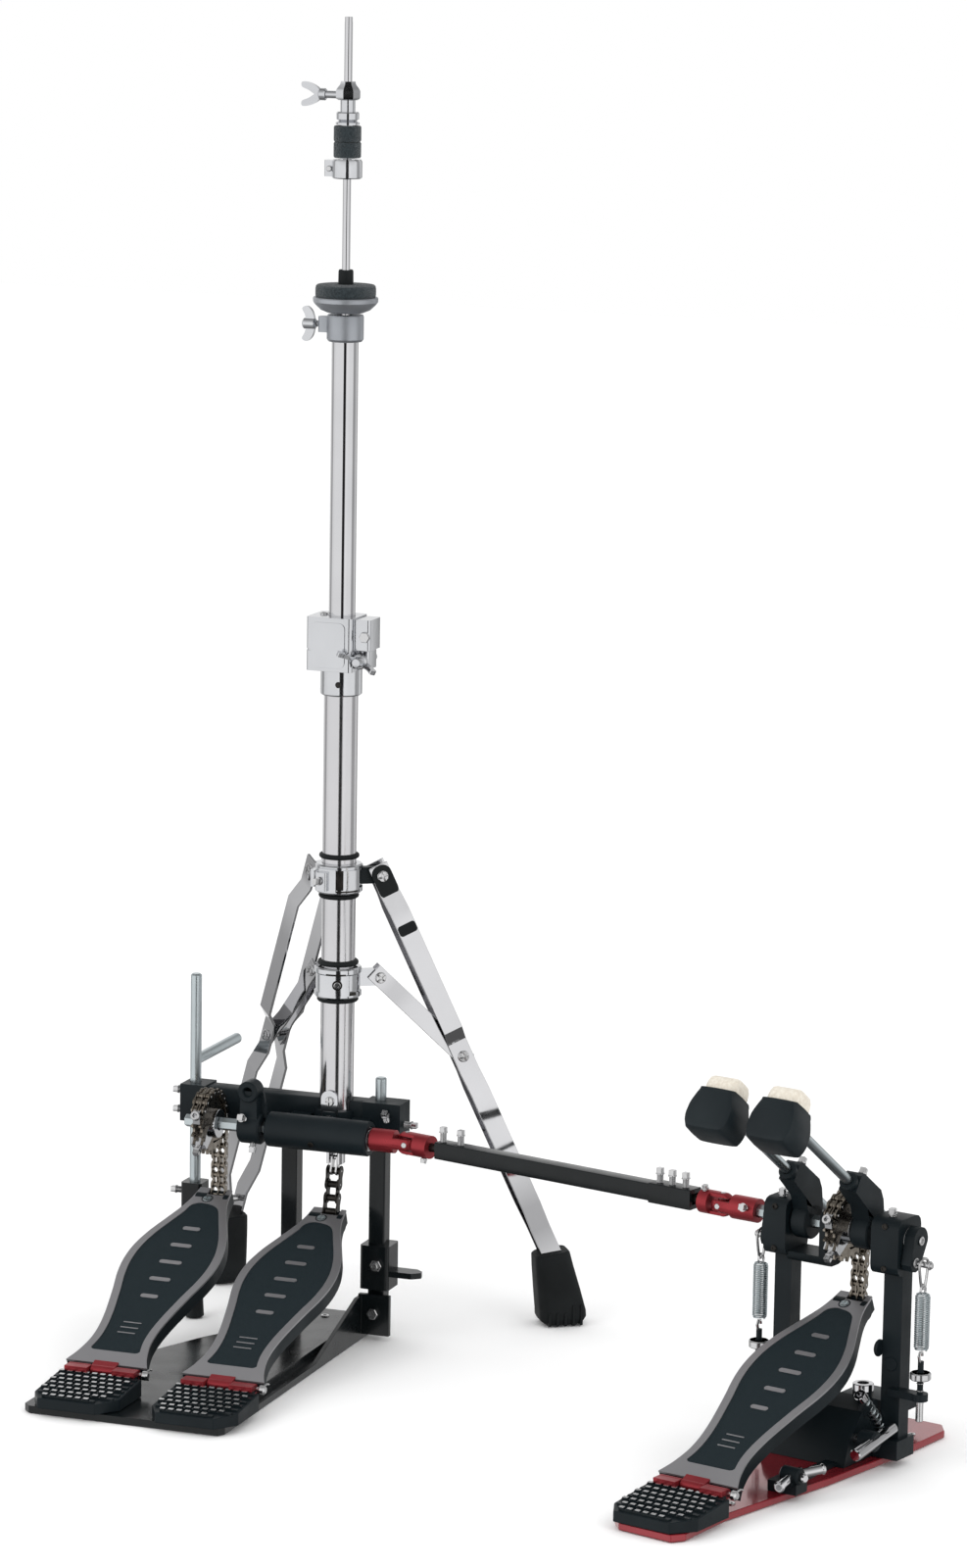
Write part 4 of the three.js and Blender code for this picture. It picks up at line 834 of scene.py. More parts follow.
def build_linkage():
    near = shift(*LEFT_JOINT) @ turn(180, "Z")
    yoke_piece("joint_near_driver", "slave_shaft", "slave_yoke_in", near,
               ((24, -9, 2), (0, -1, 0.2), 5.5, 2.6, 3), "y", True)
    yoke_piece("joint_near_driven", "linkage", "slave_yoke_out", LINK,
               ((19, -2, -9), (0, -0.3, -1), 5, 2.4, 3), "z", False)
    far = LINK @ shift(LINK_LENGTH, 0, 0) @ turn(180, "Z")
    yoke_piece("joint_far_driver", "linkage_far", "main_yoke_out", far,
               ((16, 2, 9), (0, 0.2, 1), 5, 2.4, 3), "z", False)
    main_joint = MAIN_AXLE @ shift(MAIN_JOINT_X, 0, 0)
    yoke_piece("joint_far_driven", "slave_beater_shaft", "main_yoke_in", main_joint,
               ((26, -8.8, 3), (0, -1, 0.3), 6.5, 2.8, 3.2), "y", True)

    outer = Piece("link_square_tube", "linkage", GLOSS, LINK)
    wall = square_tube(1.0)
    bore = list(reversed(rounded(-4.5, 4.5, -4.5, 4.5, 0.6, 2)))
    outer.prism(wall, 33, 60, ACROSS)
    outer.prism([wall, bore], 60, 288, ACROSS)
    outer.prism([rounded(-8.3, 8.3, -8.3, 8.3, 1.2, 3), bore], 249, 289.5, ACROSS)
    outer.use(DARK_STEEL).rod((13.5, 0, 0), (34, 0, 0), 3.6)
    for x in (37, 55):
        key_screw(outer, (x, 0, 7.1), (0, 0, 1), 12.5)
    for x in (255, 267, 280):
        key_screw(outer, (x, 0, 8.2), (0, 0, 1), 12)
    outer.done("black_steel", replaces=("linkage_tube",), bevel=0.35)
    inner = Piece("link_bar", "linkage_far", DARK_STEEL, LINK)
    inner.rod((75, 0, 0), (LINK_LENGTH - 13.9, 0, 0), 3.6, 36, 0.6)
    inner.done("black_steel", replaces=("linkage_inner_bar",))


# ---------------------------------------------------------------- hi-hat stand
def build_tubes():
    lower = Piece("lower_tube_skin", "left_frame", SOFT_CHROME)
    lower.lathe([(5.5, 190.3), (14.3, 190.3), (14.3, 589.4), (13.8, 590), (12.5, 590), (12.5, 197),
                 (5.5, 197)], None, 96)
    lower.done("chrome", replaces=("lower_tube",))

    clamp = Piece("height_clamp_body", "left_frame", CAST_CHROME)
    clamp.lathe([(14.6, 551.8), (16.4, 551.8), (17.6, 553), (17.6, 574), (14.6, 574)], None, 72)
    bore, top_bore = hole(14.62, 48), hole(11.4, 48)
    block = rounded(-25, 16, -19, 19, 4)
    clamp.prism([block, bore], 573, 590)
    clamp.prism([ring_around(block, -0.6), top_bore], 590, 591.4)
    clamp.prism([block, top_bore], 591.4, 618)
    clamp.prism(rounded(14, 30, -13, 13, 3), 591.4, 617)
    clamp.prism(rounded(14, 27, -7, 13, 3), 575, 590)
    clamp.prism(rounded(-20, 10, 576, 614, 5), 18.7, 19.9, UPRIGHT)
    clamp.use(DARK_STEEL).rod((4, -17, 562), (4, -17.75, 562), 2.6)
    hex_bolt(clamp, (26, -13, 603), (0, -1, 0), 4.8, 3.4)
    cap_screw(clamp, (-16, 0, 618), (0, 0, 1), 3.4, 1.5)
    clamp.done("chrome", replaces=("height_clamp",), bevel=0.9)

    screw = Piece("clamp_wing_screw", "clamp_wing", CAST_CHROME)
    x, z = CLAMP_WING_X, CLAMP_WING_Z
    screw.rod((x, 16, z), (x, -19.5, z), 3.0)
    screw.rod((x, -13.6, z), (x, -20, z), 6.4, 32, 1.0)
    wing(screw, (x, -17.5, z), (0, -1, 0), 18.5, 12, -24)
    screw.done("chrome", replaces=("height_clamp_wing",), bevel=0.5)

    upper = Piece("upper_tube_skin", "seat_tube", CHROME)
    upper.lathe([(9.4, 450), (11.1, 450), (11.1, 849), (9.4, 849)], None, 96)
    upper.use(GREY_CAST)
    upper.lathe([(6, 846), (13.8, 846), (15.3, 848), (15.3, 866.6), (14.6, 868), (6, 868)], None, 72)
    upper.prism(rounded(-23, -12, -5, 5, 3), 853, 866)
    upper.use(STEEL).rod((-24, 0, 859.5), (-33, 0, 859.5), 2.6)
    blade = [(-4, 0), (-5.5, 7), (-8, 12.5), (-3.6, 14.6), (1.0, 10.5), (3.0, 4), (3.2, 0)]
    for lift in (1, -1):
        outline = smooth_line([(u, v * lift) for u, v in blade], 5)
        upper.use(CAST_CHROME).prism(outline, -1.8, 1.8, shift(-29, -2, 859.5) @ UPRIGHT)
    upper.use(CAST_CHROME).rod((-25, -2, 859.5), (-36.5, -2, 859.5), 4.6, 28, 1.2)
    upper.done("grey_cast", replaces=("upper_tube",), bevel=0.4)


def build_seat():
    cup = Piece("seat_cup", "seat", GREY_CAST)
    cup.lathe([(6, 869.8), (15.2, 869.8), (17.5, 870.8), (20.5, 872.0), (25.0, 876.2), (26.8, 878.6),
               (27.0, 881.6), (26.4, 882.5), (23.6, 882.5), (23.2, 881.2), (6, 881.2)], None, 96)
    cup.done("grey_cast", replaces=("cymbal_seat",), smooth=28)
    felt = Piece("seat_felt_disc", "seat", FELT)
    felt.lathe([(6.6, 881.6), (23.8, 881.6), (24.7, 882.8), (25.0, 885), (25.0, 889.6), (24.5, 891.8),
                (23.4, 892.7), (6.6, 893)], None, 96)
    felt.use(RUBBER).lathe([(5.1, 881.5), (6.1, 892.9), (6.3, 895), (6.2, 903.6), (5.7, 905),
                            (5.1, 905)], None, 48)
    felt.done("dark_felt", replaces=("seat_felt",), smooth=50)


def build_rod_and_clutch():
    rod = Piece("hihat_pull_rod", "hihat_rod", CHROME).take("pull_rod")
    rod.done("chrome", replaces=("pull_rod",), bevel=0.3)
    tip = Piece("pull_rod_skin", "hihat_rod", CHROME)
    tip.lathe([(0, 180), (3.34, 180), (3.34, 1106.5), (2.7, 1109), (1.5, 1110.6), (0, 1111)], None, 40)
    tip.done("chrome")

    clutch = Piece("clutch_metal", "clutch", CAST_CHROME)
    clutch.lathe([(3.5, 1043.6), (8.6, 1043.6), (10.2, 1044.6), (10.8, 1046), (10.8, 1051), (9.6, 1053.2),
                  (7.0, 1056.2), (6.4, 1058.7), (3.5, 1058.7)], None, 8)
    clutch.lathe([(3.5, 1034), (6.2, 1034), (6.2, 1045), (3.5, 1045)], None, 40)
    clutch.lathe([(3.5, 1034), (8.6, 1034), (9.4, 1033), (9.4, 1028), (7.2, 1026.6), (9.8, 1025.4),
                  (9.8, 1023.6), (3.5, 1023.2)], None, 48)
    clutch.lathe([(3.5, 996), (6.2, 996), (6.2, 1026), (3.5, 1026)], None, 40)
    clutch.lathe([(3.5, 979.7), (11.6, 979.7), (12.5, 980.6), (12.5, 993.6), (11.4, 995.4), (3.5, 995.6)],
                 None, 56)
    clutch.prism(rounded(-19, -9, -4.2, 4.2, 2), 981, 994.4)
    clutch.use(STEEL).rod((-13.8, -4, 987.5), (-13.8, -6.6, 987.5), 2.4)
    clutch.use(CAST_CHROME).rod((-9, 0, 1047.5), (-24, 0, 1047.5), 3.1)
    clutch.rod((-19, 0, 1047.5), (-25, 0, 1047.5), 5.0, 28, 1.0)
    blade = [(-22, 0), (-26, 5.6), (-33, 9.2), (-39.5, 9.8), (-39.8, 5.8), (-34, 3.2), (-29, 0)]
    for lift in (1, -1):
        outline = smooth_line([(u, v * lift) for u, v in blade], 5)
        clutch.prism(outline, -1.9, 1.9, shift(0, 0, 1047.5) @ UPRIGHT)
    clutch.done("chrome", replaces=("clutch_body",), bevel=0.4)
    felt = Piece("clutch_felt_washers", "clutch", FELT)
    for z0, z1 in ((996.6, 1009.4), (1009.8, 1022.6)):
        felt.lathe([(6.6, z0), (10.6, z0), (11.3, z0 + 1), (11.3, z1 - 1), (10.6, z1), (6.6, z1)], None, 64)
    felt.done("dark_felt", replaces=("clutch_felt",), smooth=50)


def build_hihat_chain():
    chain = Piece("hihat_chain_links", "hihat_link", DARK_STEEL)
    toe = HEEL_Y + TOE * math.cos(math.radians(PITCH["hihat"])) - 0.5
    top, low = Vector((0, 155)), Vector((toe, 110))
    points = [tuple(top.lerp(low, i / 4)) for i in range(5)]
    roller_chain(chain, points[1:], 13.6, 9.5, 3.0, double=False, plate=DARK_STEEL)
    chain.use(STEEL)
    link_plate(chain, points[0], points[1], -3.1, 1.6, 8.0)
    link_plate(chain, points[0], points[1], 1.5, 1.6, 8.0)
    chain.done("chain_steel", replaces=("hihat_chain",), bevel=0.25)


# ---------------------------------------------------------------- legs
STRAP_LINE = [(-10, 7.6), (16, 7.6), (32, 16), (146, 16), (159, 7.6), (187, 7.6), (206, 14.5), (318, 14.5),
              (342, 7.7), (388, 7.7)]


def thick_line(points, half):
    """Outline of a line of the given half thickness, mitred at its bends."""
    sides = ([], [])
    for i, p in enumerate(points):
        before = Vector(points[max(i - 1, 0)])
        after = Vector(points[min(i + 1, len(points) - 1)])
        here = Vector(p)
        first = (here - before).normalized() if i else (after - here).normalized()
        last = (after - here).normalized() if i < len(points) - 1 else first
        normal = (Vector((-first.y, first.x)) + Vector((-last.y, last.x))).normalized()
        reach = half / max(normal.dot(Vector((-first.y, first.x))), 0.5)
        sides[0].append(tuple(here + normal * reach))
        sides[1].append(tuple(here - normal * reach))
    return sides[0] + list(reversed(sides[1]))


def build_leg(name):
    plane = turn(LEG_TURN[name], "Z")
    lean = plane @ shift(LEG_PIVOT, 0, LEG_TOP) @ turn(-LEG_LEAN, "Y")
    straps = Piece(f"{name}_leg_straps", f"{name}_leg_body", CHROME, lean)
    down = Matrix(((0, 0, 1, 0), (0, 1, 0, 0), (-1, 0, 0, 0), (0, 0, 0, 1)))
    for side in (-1, 1):
        outline = thick_line([(s, side * t) for s, t in STRAP_LINE], STRAP_THICK / 2)
        if side < 0:
            outline = list(reversed(outline))
        straps.prism(outline, -STRAP_WIDTH / 2, STRAP_WIDTH / 2, down)
        for s in (0, LEG_JOINT):
            pan_screw(straps, (0, side * 8.8, -s), (0, side, 0), 5.2, 2.6)
        straps.use(CHROME)
    straps.use(STEEL).rod((0, -6.6, 0), (0, 6.6, 0), 2.4)
    for s in (LEG_JOINT, 352):
        straps.rod((0, -6.6, -s), (0, 6.6, -s), 3.0)
    straps.done("chrome", replaces=(f"{name}_leg",), bevel=0.5)
    if name == "right":
        cover = Piece("right_leg_cap", "right_leg_body", RUBBER, lean)
        cover.prism(rounded(-8.6, 8.6, -20, 9.6, 7.6), 8.75, 9.6, UPRIGHT)
        cover.prism(rounded(-8.0, 8.0, -53, -43.5, 2.5), 17.1, 17.7, UPRIGHT)
        cover.done("chrome", bevel=0.2)

    jr = LEG_PIVOT + LEG_JOINT * math.sin(math.radians(LEG_LEAN))
    jz = LEG_TOP - LEG_JOINT * math.cos(math.radians(LEG_LEAN))
    angle = math.degrees(math.atan2(jz - BRACE_TOP, jr - LEG_PIVOT))
    reach = math.hypot(jr - LEG_PIVOT, jz - BRACE_TOP)
    arm = plane @ shift(LEG_PIVOT, 0, BRACE_TOP) @ turn(-angle, "Y")
    brace = Piece(f"{name}_brace_straps", f"{name}_brace_body", CHROME, arm)
    for side in (-1, 1):
        line = [(-8, 5.3), (14, 5.3), (24, 3.4), (reach - 26, 3.4), (reach - 14, 5.3), (reach + 7, 5.3)]
        outline = thick_line([(s, side * t) for s, t in line], 0.85)
        if side < 0:
            outline = list(reversed(outline))
        brace.prism(outline, -7.5, 7.5)
        pan_screw(brace, (0, side * 6.1, 0), (0, side, 0), 5.0, 2.4)
        brace.use(CHROME)
    brace.use(STEEL).rod((0, -5.2, 0), (0, 5.2, 0), 2.4)
    brace.done("chrome", replaces=(f"{name}_brace",), bevel=0.35)

    boot(name, plane)


BOOT_LEVELS = [
    (0.2, 187, 211, 10.5), (1.2, 183.5, 215, 13), (4, 180, 218, 14.2), (7, 178.6, 219.8, 14.8),
    (12, 178.4, 219.4, 15), (30, 176.6, 214, 14.6), (50, 174.8, 207.6, 14), (60.5, 174.2, 204.6, 13.6),
    (62, 175.4, 203.4, 12.6),
]


def boot(name, plane):
    """Rubber boot that stands upright on the floor round the ends of the straps."""
    made = Piece(f"{name}_boot", f"{name}_leg_body", RUBBER, plane)
    rings = []
    for z, inner, outer, half in BOOT_LEVELS:
        slant = 4.0 * z / 62
        ring = rounded(inner, outer, -half, half, min(half - 1, 7), 5)
        rings.append([(x, y, z + slant * (x - inner) / (outer - inner)) for x, y in ring])
    loft(made, rings)
    for x in (186, 193, 200, 207, 214):
        tall = 13.0 if x < 205 else 19.0
        made.prism(rounded(-15.9, 15.9, 0.3, tall, 2.2, 3), x - 1.1, x + 1.1, ACROSS)
    made.done("rubber", replaces=(f"{name}_leg_foot",), bevel=0.4)


def arc_plan(inner, outer, first, last, steps=16):
    """Plan of a part of a ring between two angles in degrees."""
    return arc(outer, first, last, steps) + arc(inner, last, first, steps)


def build_collars():
    for node, body, z0, z1, screw_z in (("upper_leg_collar", "upper_collar", 384.5, 409, 397),
                                        ("lower_leg_collar", "lower_collar", 295, 321, 308)):
        collar = Piece(f"{node}_ring", body, CAST_CHROME)
        edge = z1 - 4
        collar.lathe([(14.6, z0), (18.6, z0), (20, z0 + 1.4), (20, z0 + 5), (18.7, z0 + 6.2),
                      (18.7, edge - 2), (20, edge - 0.8), (20, z1 - 1.2), (18.8, z1), (14.6, z1)], None, 80)
        for name in ("right", "left"):
            spin = turn(LEG_TURN[name], "Z")
            pivot = LEG_TOP if body == "upper_collar" else BRACE_TOP
            black = body == "upper_collar" and name == "right"
            collar.use(CAST if black else CAST_CHROME)
            outline = [(16, pivot - 7)] + arc(7, -90, 90, 12, LEG_PIVOT, pivot) + [(16, pivot + 7)]
            collar.prism([outline, hole(2.9, 20, LEG_PIVOT, pivot)], -4, 4, spin @ UPRIGHT)
        front = turn(-70, "Z")
        if body == "upper_collar":
            collar.use(CAST_CHROME).prism(arc_plan(17, 22.0, -59, -18), z0 + 4.4, z1 - 3.6)
            collar.prism(arc_plan(17, 22.4, -118, -76), z0 + 2.4, z1 - 2.6)
            collar.use(DARK_STEEL).prism(arc_plan(17, 20.4, -76, -59), z0 + 4.2, z1 - 3.8)
            collar.prism(arc_plan(17, 20.3, -100, -16), z0 + 2.0, z0 + 3.4)
            lever = turn(-104, "Z")
            collar.use(CAST_CHROME).prism(rounded(20, 27, -6, 5, 2), z0 + 4, z1 - 5, lever)
            key_screw(collar, lever @ Vector((26, -1, z0 + 12)), lever.to_3x3() @ Vector((1, -0.2, 0.1)), 7)
        else:
            collar.use(CAST_CHROME).prism(arc_plan(17, 22.0, -112, -42), z0 + 3.4, z1 - 5.2)
            collar.use(DARK_STEEL).prism(arc_plan(17, 20.6, -98, -50), z1 - 5.2, z1 - 4.2)
            collar.prism(arc_plan(17, 21.0, -41, -22), z0 + 3.4, z0 + 6.0)
            collar.rod(front @ Vector((21.2, 0, screw_z)), front @ Vector((22.3, 0, screw_z)), 4.3)
            outward = front.to_3x3() @ Vector((1, 0, 0))
            cap_screw(collar, front @ Vector((22.1, 0, screw_z)), outward, 2.9, 1.4)
        collar.done("chrome", replaces=(node,), bevel=0.4)

    for name, body, z, radius, wire in (("tube_rings", "upper_collar", 415.4, 14.9, 2.1),
                                        ("upper_collar_ring", "upper_collar", 381.6, 14.9, 2.2),
                                        ("lower_collar_ring", "lower_collar", 324.2, 15.1, 2.3)):
        seal = Piece(name, body, RUBBER)
        seal.ring((0, 0, z), (0, 0, 1), radius, wire, 72)
        seal.done("rubber")
    swivel = Piece("swivel_ring", "leg_ring", RUBBER)
    swivel.lathe([(14.6, 291), (16.6, 291), (17.5, 292), (17.5, 293.6), (16.8, 294.7), (14.6, 294.7)],
                 None, 72)
    swivel.done("rubber", replaces=("leg_swivel_ring",))
    wings = Piece("upper_collar_wing", "upper_collar", CAST_CHROME)
    side = turn(198, "Z")
    at = side @ Vector((19, 0, 396))
    way = side.to_3x3() @ Vector((1, 0, 0))
    wings.rod(at, at + way * 7, 3.4)
    wings.prism(rounded(15, 24, -7, 7, 2.5), 389, 403, side)
    wings.done("chrome", bevel=0.6)


# ---------------------------------------------------------------- main pedal
def build_main_frame():
    base = Piece("main_base", "main_frame", RED_GLOSS, MAIN).take("main_base_plate")
    base.done("red_anodised", replaces=("main_base_plate",), bevel=1.2, steps=3)
    rails = Piece("main_base_fittings", "main_frame", STEEL, MAIN)
    for x, y in ((-18, 20), (18, 20), (0, 262), (-35, 262), (35, 262)):
        cap_screw(rails, (x, y, BASE_TOP), (0, 0, 1), 3.4, 1.0)
    rails.done("chrome")

    for side, node, x0, x1 in (("right", "main_post_right", 36, 61), ("left", "main_post_left", -63, -42.5)):
        post = Piece(f"{side}_post", "main_frame", CAST, MAIN).take(node)
        sign = 1 if side == "right" else -1
        xs = SPRING_X[side]
        post.use(STEEL)
        for z in (64, 70):
            post.ring((xs, SPRING_Y, z + 1), (0, 0, 1), 2.5, 0.5)
        post.tube((xs, SPRING_Y, 74), (xs, SPRING_Y, 80), 8.4, 2.6, 40, 0.8)
        post.rod((xs, SPRING_Y, 40), (xs, SPRING_Y, 60), 3.0, 24, 0.5)
        lower_hook = [(0, 80), (0, 87), (-2.2, 89.5), (-3.2, 93), (-1.6, 96.2), (1.4, 95.6), (2.2, 93)]
        post.sweep([(xs, SPRING_Y + u, v) for u, v in lower_hook], 1.25)
        face = x1 if side == "right" else x0
        post.tube((face, AXLE_AHEAD, AXLE_Z), (face + sign * 0.8, AXLE_AHEAD, AXLE_Z), 10.5, 6.3, 48, 0.2)
        if side == "right":
            post.use(CAST).rod((43, 196, 94), (40, 196, 94), 7.0, 32, 1.5)
            post.rod((51.5, 198.4, 82), (51.5, 196.9, 82), 5.6, 32, 0.5)
        for z in (161, 195):
            cap_screw(post, ((x0 + x1) / 2, AXLE_AHEAD - 17.9, z), (0, -1, 0), 2.6, 1.0, material=DARK_STEEL)
        key_screw(post, ((x0 + x1) / 2, AXLE_AHEAD - 6, 200.6), (0, -0.1, 1), 7)
        post.done("black_steel", replaces=(node,), bevel=1.1, steps=3)

    casting = Piece("clamp_casting", "main_frame", CAST, MAIN).take("hoop_clamp_casting")
    cap_screw(casting, (25, 201, 56), (0, 0, 1), 8.6, 5.5, 0.55, CHROME)
    start, end = Vector((38.5, 178, 56)), Vector((44, 212, 18))
    way = (end - start).normalized()
    cap_screw(casting, start, -way, 5.0, 6.0, 0.5, CHROME)
    casting.use(STEEL).rod(start, end, 2.6)
    casting.use(ZINC).sweep(coil(start + way * 1.5, end, 4.1, 9, 0), 0.85, 8)
    casting.done("black_cast", replaces=("hoop_clamp_casting",), bevel=0.9)

    key = Piece("drum_key", "main_frame", CHROME, MAIN)
    centre = Vector((42, 70, 21))
    for way in ((0.55, 0.8, 0.1), (-0.3, 0.86, -0.2), (0.15, -1.0, -0.1)):
        tip = centre + Vector(way).normalized() * 27
        key.use(CHROME).rod(centre, tip, 3.6, 28, 1.2)
        key.rod(tip - Vector(way).normalized() * 3, tip, 4.4, 28, 1.0)
    key.use(CAST).rod(centre - Vector((9, 0, 0)), centre + Vector((8, 0, 0)), 6.6, 32, 1.2)
    key.use(CHROME).rod(centre + Vector((7, 0, 0)), centre + Vector((13, -2, 0)), 3.6, 28, 1.0)
    key.done("chrome")

    jaw = Piece("clamp_jaw", "hoop_jaw", CAST, MAIN).take("hoop_clamp_jaw")
    jaw.use(RUBBER).box(-22, 22, 268, 294, 20.4, 22.2)
    jaw.done("black_cast", replaces=("hoop_clamp_jaw",), bevel=1.0)
    tee = Piece("clamp_tee", "hoop_screw", CHROME, MAIN)
    y, z = 166, 27.5
    tilt = math.radians(9)
    reach = Vector((0, math.cos(tilt), math.sin(tilt))) * 29
    middle = Vector((57, y, z))
    tee.rod(middle - reach, middle + reach, 5.0, 40, 0.9)
    tee.use(CAST).rod((45, y, z), (60, y, z), 8.2, 36, 1.4)
    tee.use(STEEL).rod((22, y, z), (50, y, z), 3.0)
    tee.done("chrome", replaces=("hoop_clamp_screw",))


def coil(start, end, r, turns, phase, steps=18):
    """Points of a helix from start to end."""
    here = facing(start, Vector(end) - Vector(start))
    long = (Vector(end) - Vector(start)).length
    made = []
    for i in range(int(turns * steps) + 1):
        a = 2 * math.pi * i / steps + phase
        made.append(here @ Vector((r * math.cos(a), r * math.sin(a), long * i / (turns * steps))))
    return made


def build_springs():
    for side in ("right", "left"):
        x = SPRING_X[side]
        low, high = SPRING_LOW, SPRING_HIGH
        coils = Piece(f"{side}_spring_coil", f"{side}_stirrup", ZINC, MAIN)
        turns = 26
        path = []
        steps = 20
        for i in range(turns * steps + 1):
            share = i / (turns * steps)
            a = 2 * math.pi * i / steps
            edge = min(share, 1 - share)
            r = 5.5 - 1.3 * max(0.0, 1 - edge / 0.05)
            path.append((x + r * math.cos(a), SPRING_Y + r * math.sin(a), low + 1 + (high - low - 2) * share))
        coils.sweep(path, 0.68, 8)
        coils.done("zinc")
        made = bpy.data.objects[f"{side}_spring_coil"]
        made.parent = None
        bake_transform(made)
        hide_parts(f"{side}_spring")

        hook = Piece(f"{side}_stirrup_wire", f"{side}_stirrup", STEEL, MAIN)
        eye = [(3.4, -1), (3.8, 1.5), (2.6, 4.6), (-0.5, 6), (-3.4, 4.4), (-3.8, 1.4), (-2.6, -0.6)]
        hook.sweep([(x, SPRING_Y + u, high + v) for u, v in eye], 1.0)
        top = SPRING_PIN_Z + 3.6
        loop = smooth_line([(0, high + 2.8), (-3.0, high + 4.6), (-6.3, top - 6.5), (-5.4, top - 1.0),
                            (0, top + 1.2), (5.4, top - 1.0), (6.3, top - 6.5), (3.0, high + 4.6),
                            (0, high + 2.8)], 6)[:-1]
        hook.sweep([(x, SPRING_Y + u, v) for u, v in loop], 1.15, 10, closed=True)
        hook.done("zinc", replaces=(f"{side}_spring_hook",))


def cam(piece, x0, x1, out0, out1):
    """Rounded lever on the shaft with the pin for the stirrup."""
    lobe = arc(11, -10, 185, 13)
    pin_y, pin_z = SPRING_Y - AXLE_AHEAD, SPRING_PIN_Z - AXLE_Z
    lobe += [(pin_y - 8, pin_z - 1), (pin_y - 6, pin_z - 6), (pin_y, pin_z - 7.6), (pin_y + 6, pin_z - 6),
             (pin_y + 8.6, pin_z - 1)]
    piece.use(CAST).prism(lobe, x0, x1, ACROSS)
    piece.use(STEEL).rod((out0, pin_y, pin_z), (out1, pin_y, pin_z), 2.5, 24, 0.6)
    near = out1 - 2.4 if abs(out1) > abs(out0) else out0 + 2.4
    piece.ring((near, pin_y, pin_z), (1, 0, 0), 2.9, 0.8)
    inner = out0 + 3 if abs(out1) > abs(out0) else out1 - 3
    piece.ring((inner, pin_y, pin_z), (1, 0, 0), 3.4, 0.8)
    outer_face = x1 if abs(x1) > abs(x0) else x0
    cap_screw(piece, (outer_face, 0, 0), (1 if outer_face > 0 else -1, 0, 0), 3.8, 1.4)


def beater_frame(x):
    return MAIN_AXLE @ shift(x, 0, 0) @ turn(-BEATER_TILT, "X")


# Side of the socket that holds a beater's rod: along the rod, height.
SOCKET_SIDE = [(-49, 13), (-49, 27), (-46, 30.6), (-14, 30.8), (-6, 26.5), (4, 16), (10, 6), (0, -4),
               (-13, 2), (-24, 10)]


def slanted_block(name, body, x, half):
    """Socket of a beater's rod, with its collar and two screws."""
    block = Piece(name, body, CAST, beater_frame(x))
    block.prism(SOCKET_SIDE, -half, half, ACROSS)
    block.tube((0, -54, STEM_Z), (0, -48, STEM_Z), 7.6, 4.3, 32, 1.2)
    key_screw(block, (0, -36, 30.4), (0, 0, 1), 8)
    key_screw(block, (-half + 0.3, -22, STEM_Z), (-1, 0, 0), 6, 2.6, 3)
    return block


def build_shafts():
    shaft = Piece("main_shaft_bar", "main_shaft", ZINC, MAIN_AXLE)
    shaft.lathe([(0, -3.5), (4.9, -3.5), (5.5, -3), (5.5, 65.5), (4.9, 66), (0, 66)], ACROSS, 6, 90)
    cam(shaft, 62, 71, 68, 86)
    shaft.done("zinc", replaces=("main_hex_shaft",), bevel=0.4)
    drive("main", "main_shaft", "main_chain_run", MAIN_AXLE @ shift(CHAIN_X - 0.5, 0, 0),
          toe_ahead("main"), ("main_sprocket",), "main_chain")
    hub = Piece("main_hub_ring", "main_shaft", CAST, MAIN_AXLE @ shift(BEATER_X["main"], 0, 0))
    hub.tube((-8.0, 0, 0), (8.0, 0, 0), HUB_R, HUB_BORE, 56, 1.2)
    hub.done("black_cast", replaces=("main_beater_hub",))
    socket = slanted_block("main_hub_block", "main_shaft", BEATER_X["main"], 8.0)
    socket.done("black_cast", bevel=0.7)

    slave = Piece("slave_hub_ring", "slave_beater_shaft", ZINC, MAIN_AXLE)
    end = MAIN_JOINT_X + 14.6
    slave.lathe([(0, end), (5.5, end), (5.5, -5.1), (4.9, -4.6), (0, -4.6)], ACROSS, 6, 90)
    cam(slave, -68, -63.4, -77, -66)
    slave.use(CAST).rod((BEATER_X["slave"] - 7.2, 0, 0), (BEATER_X["slave"] + 7.2, 0, 0), HUB_R, 56, 1.2)
    slave.done("black_cast", replaces=("slave_beater_hub",), bevel=0.3)
    socket = slanted_block("slave_hub_block", "slave_beater_shaft", BEATER_X["slave"], 7.2)
    socket.done("black_cast", bevel=0.7)


# A beater head seen along its rod: half width and height, from the plastic face to the felt.
BEATER_OUTLINE = [(13, -7.2), (18, -4.6), (20.4, 2), (20.6, 8), (19.8, 15), (15.4, 26.4), (12.6, 28.8)]
HEAD_MIDDLE, HEAD_HALF = -173.5, 17.2


def build_beaters():
    for name in ("main", "slave"):
        here = beater_frame(BEATER_X[name])
        rod = Piece(f"{name}_beater_stem", f"{name}_beater", ZINC, here)
        rod.rod((0, 24, STEM_Z), (0, -176, STEM_Z), 4.0, 40, 0.8)
        rod.done("zinc", replaces=(f"{name}_beater_rod",))
        head = Piece(f"{name}_beater_block", f"{name}_beater", BEATER, here)
        rings = []
        for grow, along in ((-4.6, -HEAD_HALF), (-1.6, -15.8), (0, -12), (0.4, 0), (0, 12), (-1.6, 15.8),
                            (-4.6, HEAD_HALF)):
            rings.append(head_ring(grow, HEAD_MIDDLE + along))
        loft(head, rings)
        head.use(STEEL).rod((0, -156.2, STEM_Z), (0, -153, STEM_Z), 5.0, 28, 0.8)
        head.done("beater_body", replaces=(f"{name}_beater_head",), bevel=0.5, smooth=40)
        felt = Piece(f"{name}_beater_felt", f"{name}_beater", CREAM, here)
        loft(felt, felt_rings())
        felt.done("beater_body", smooth=60)


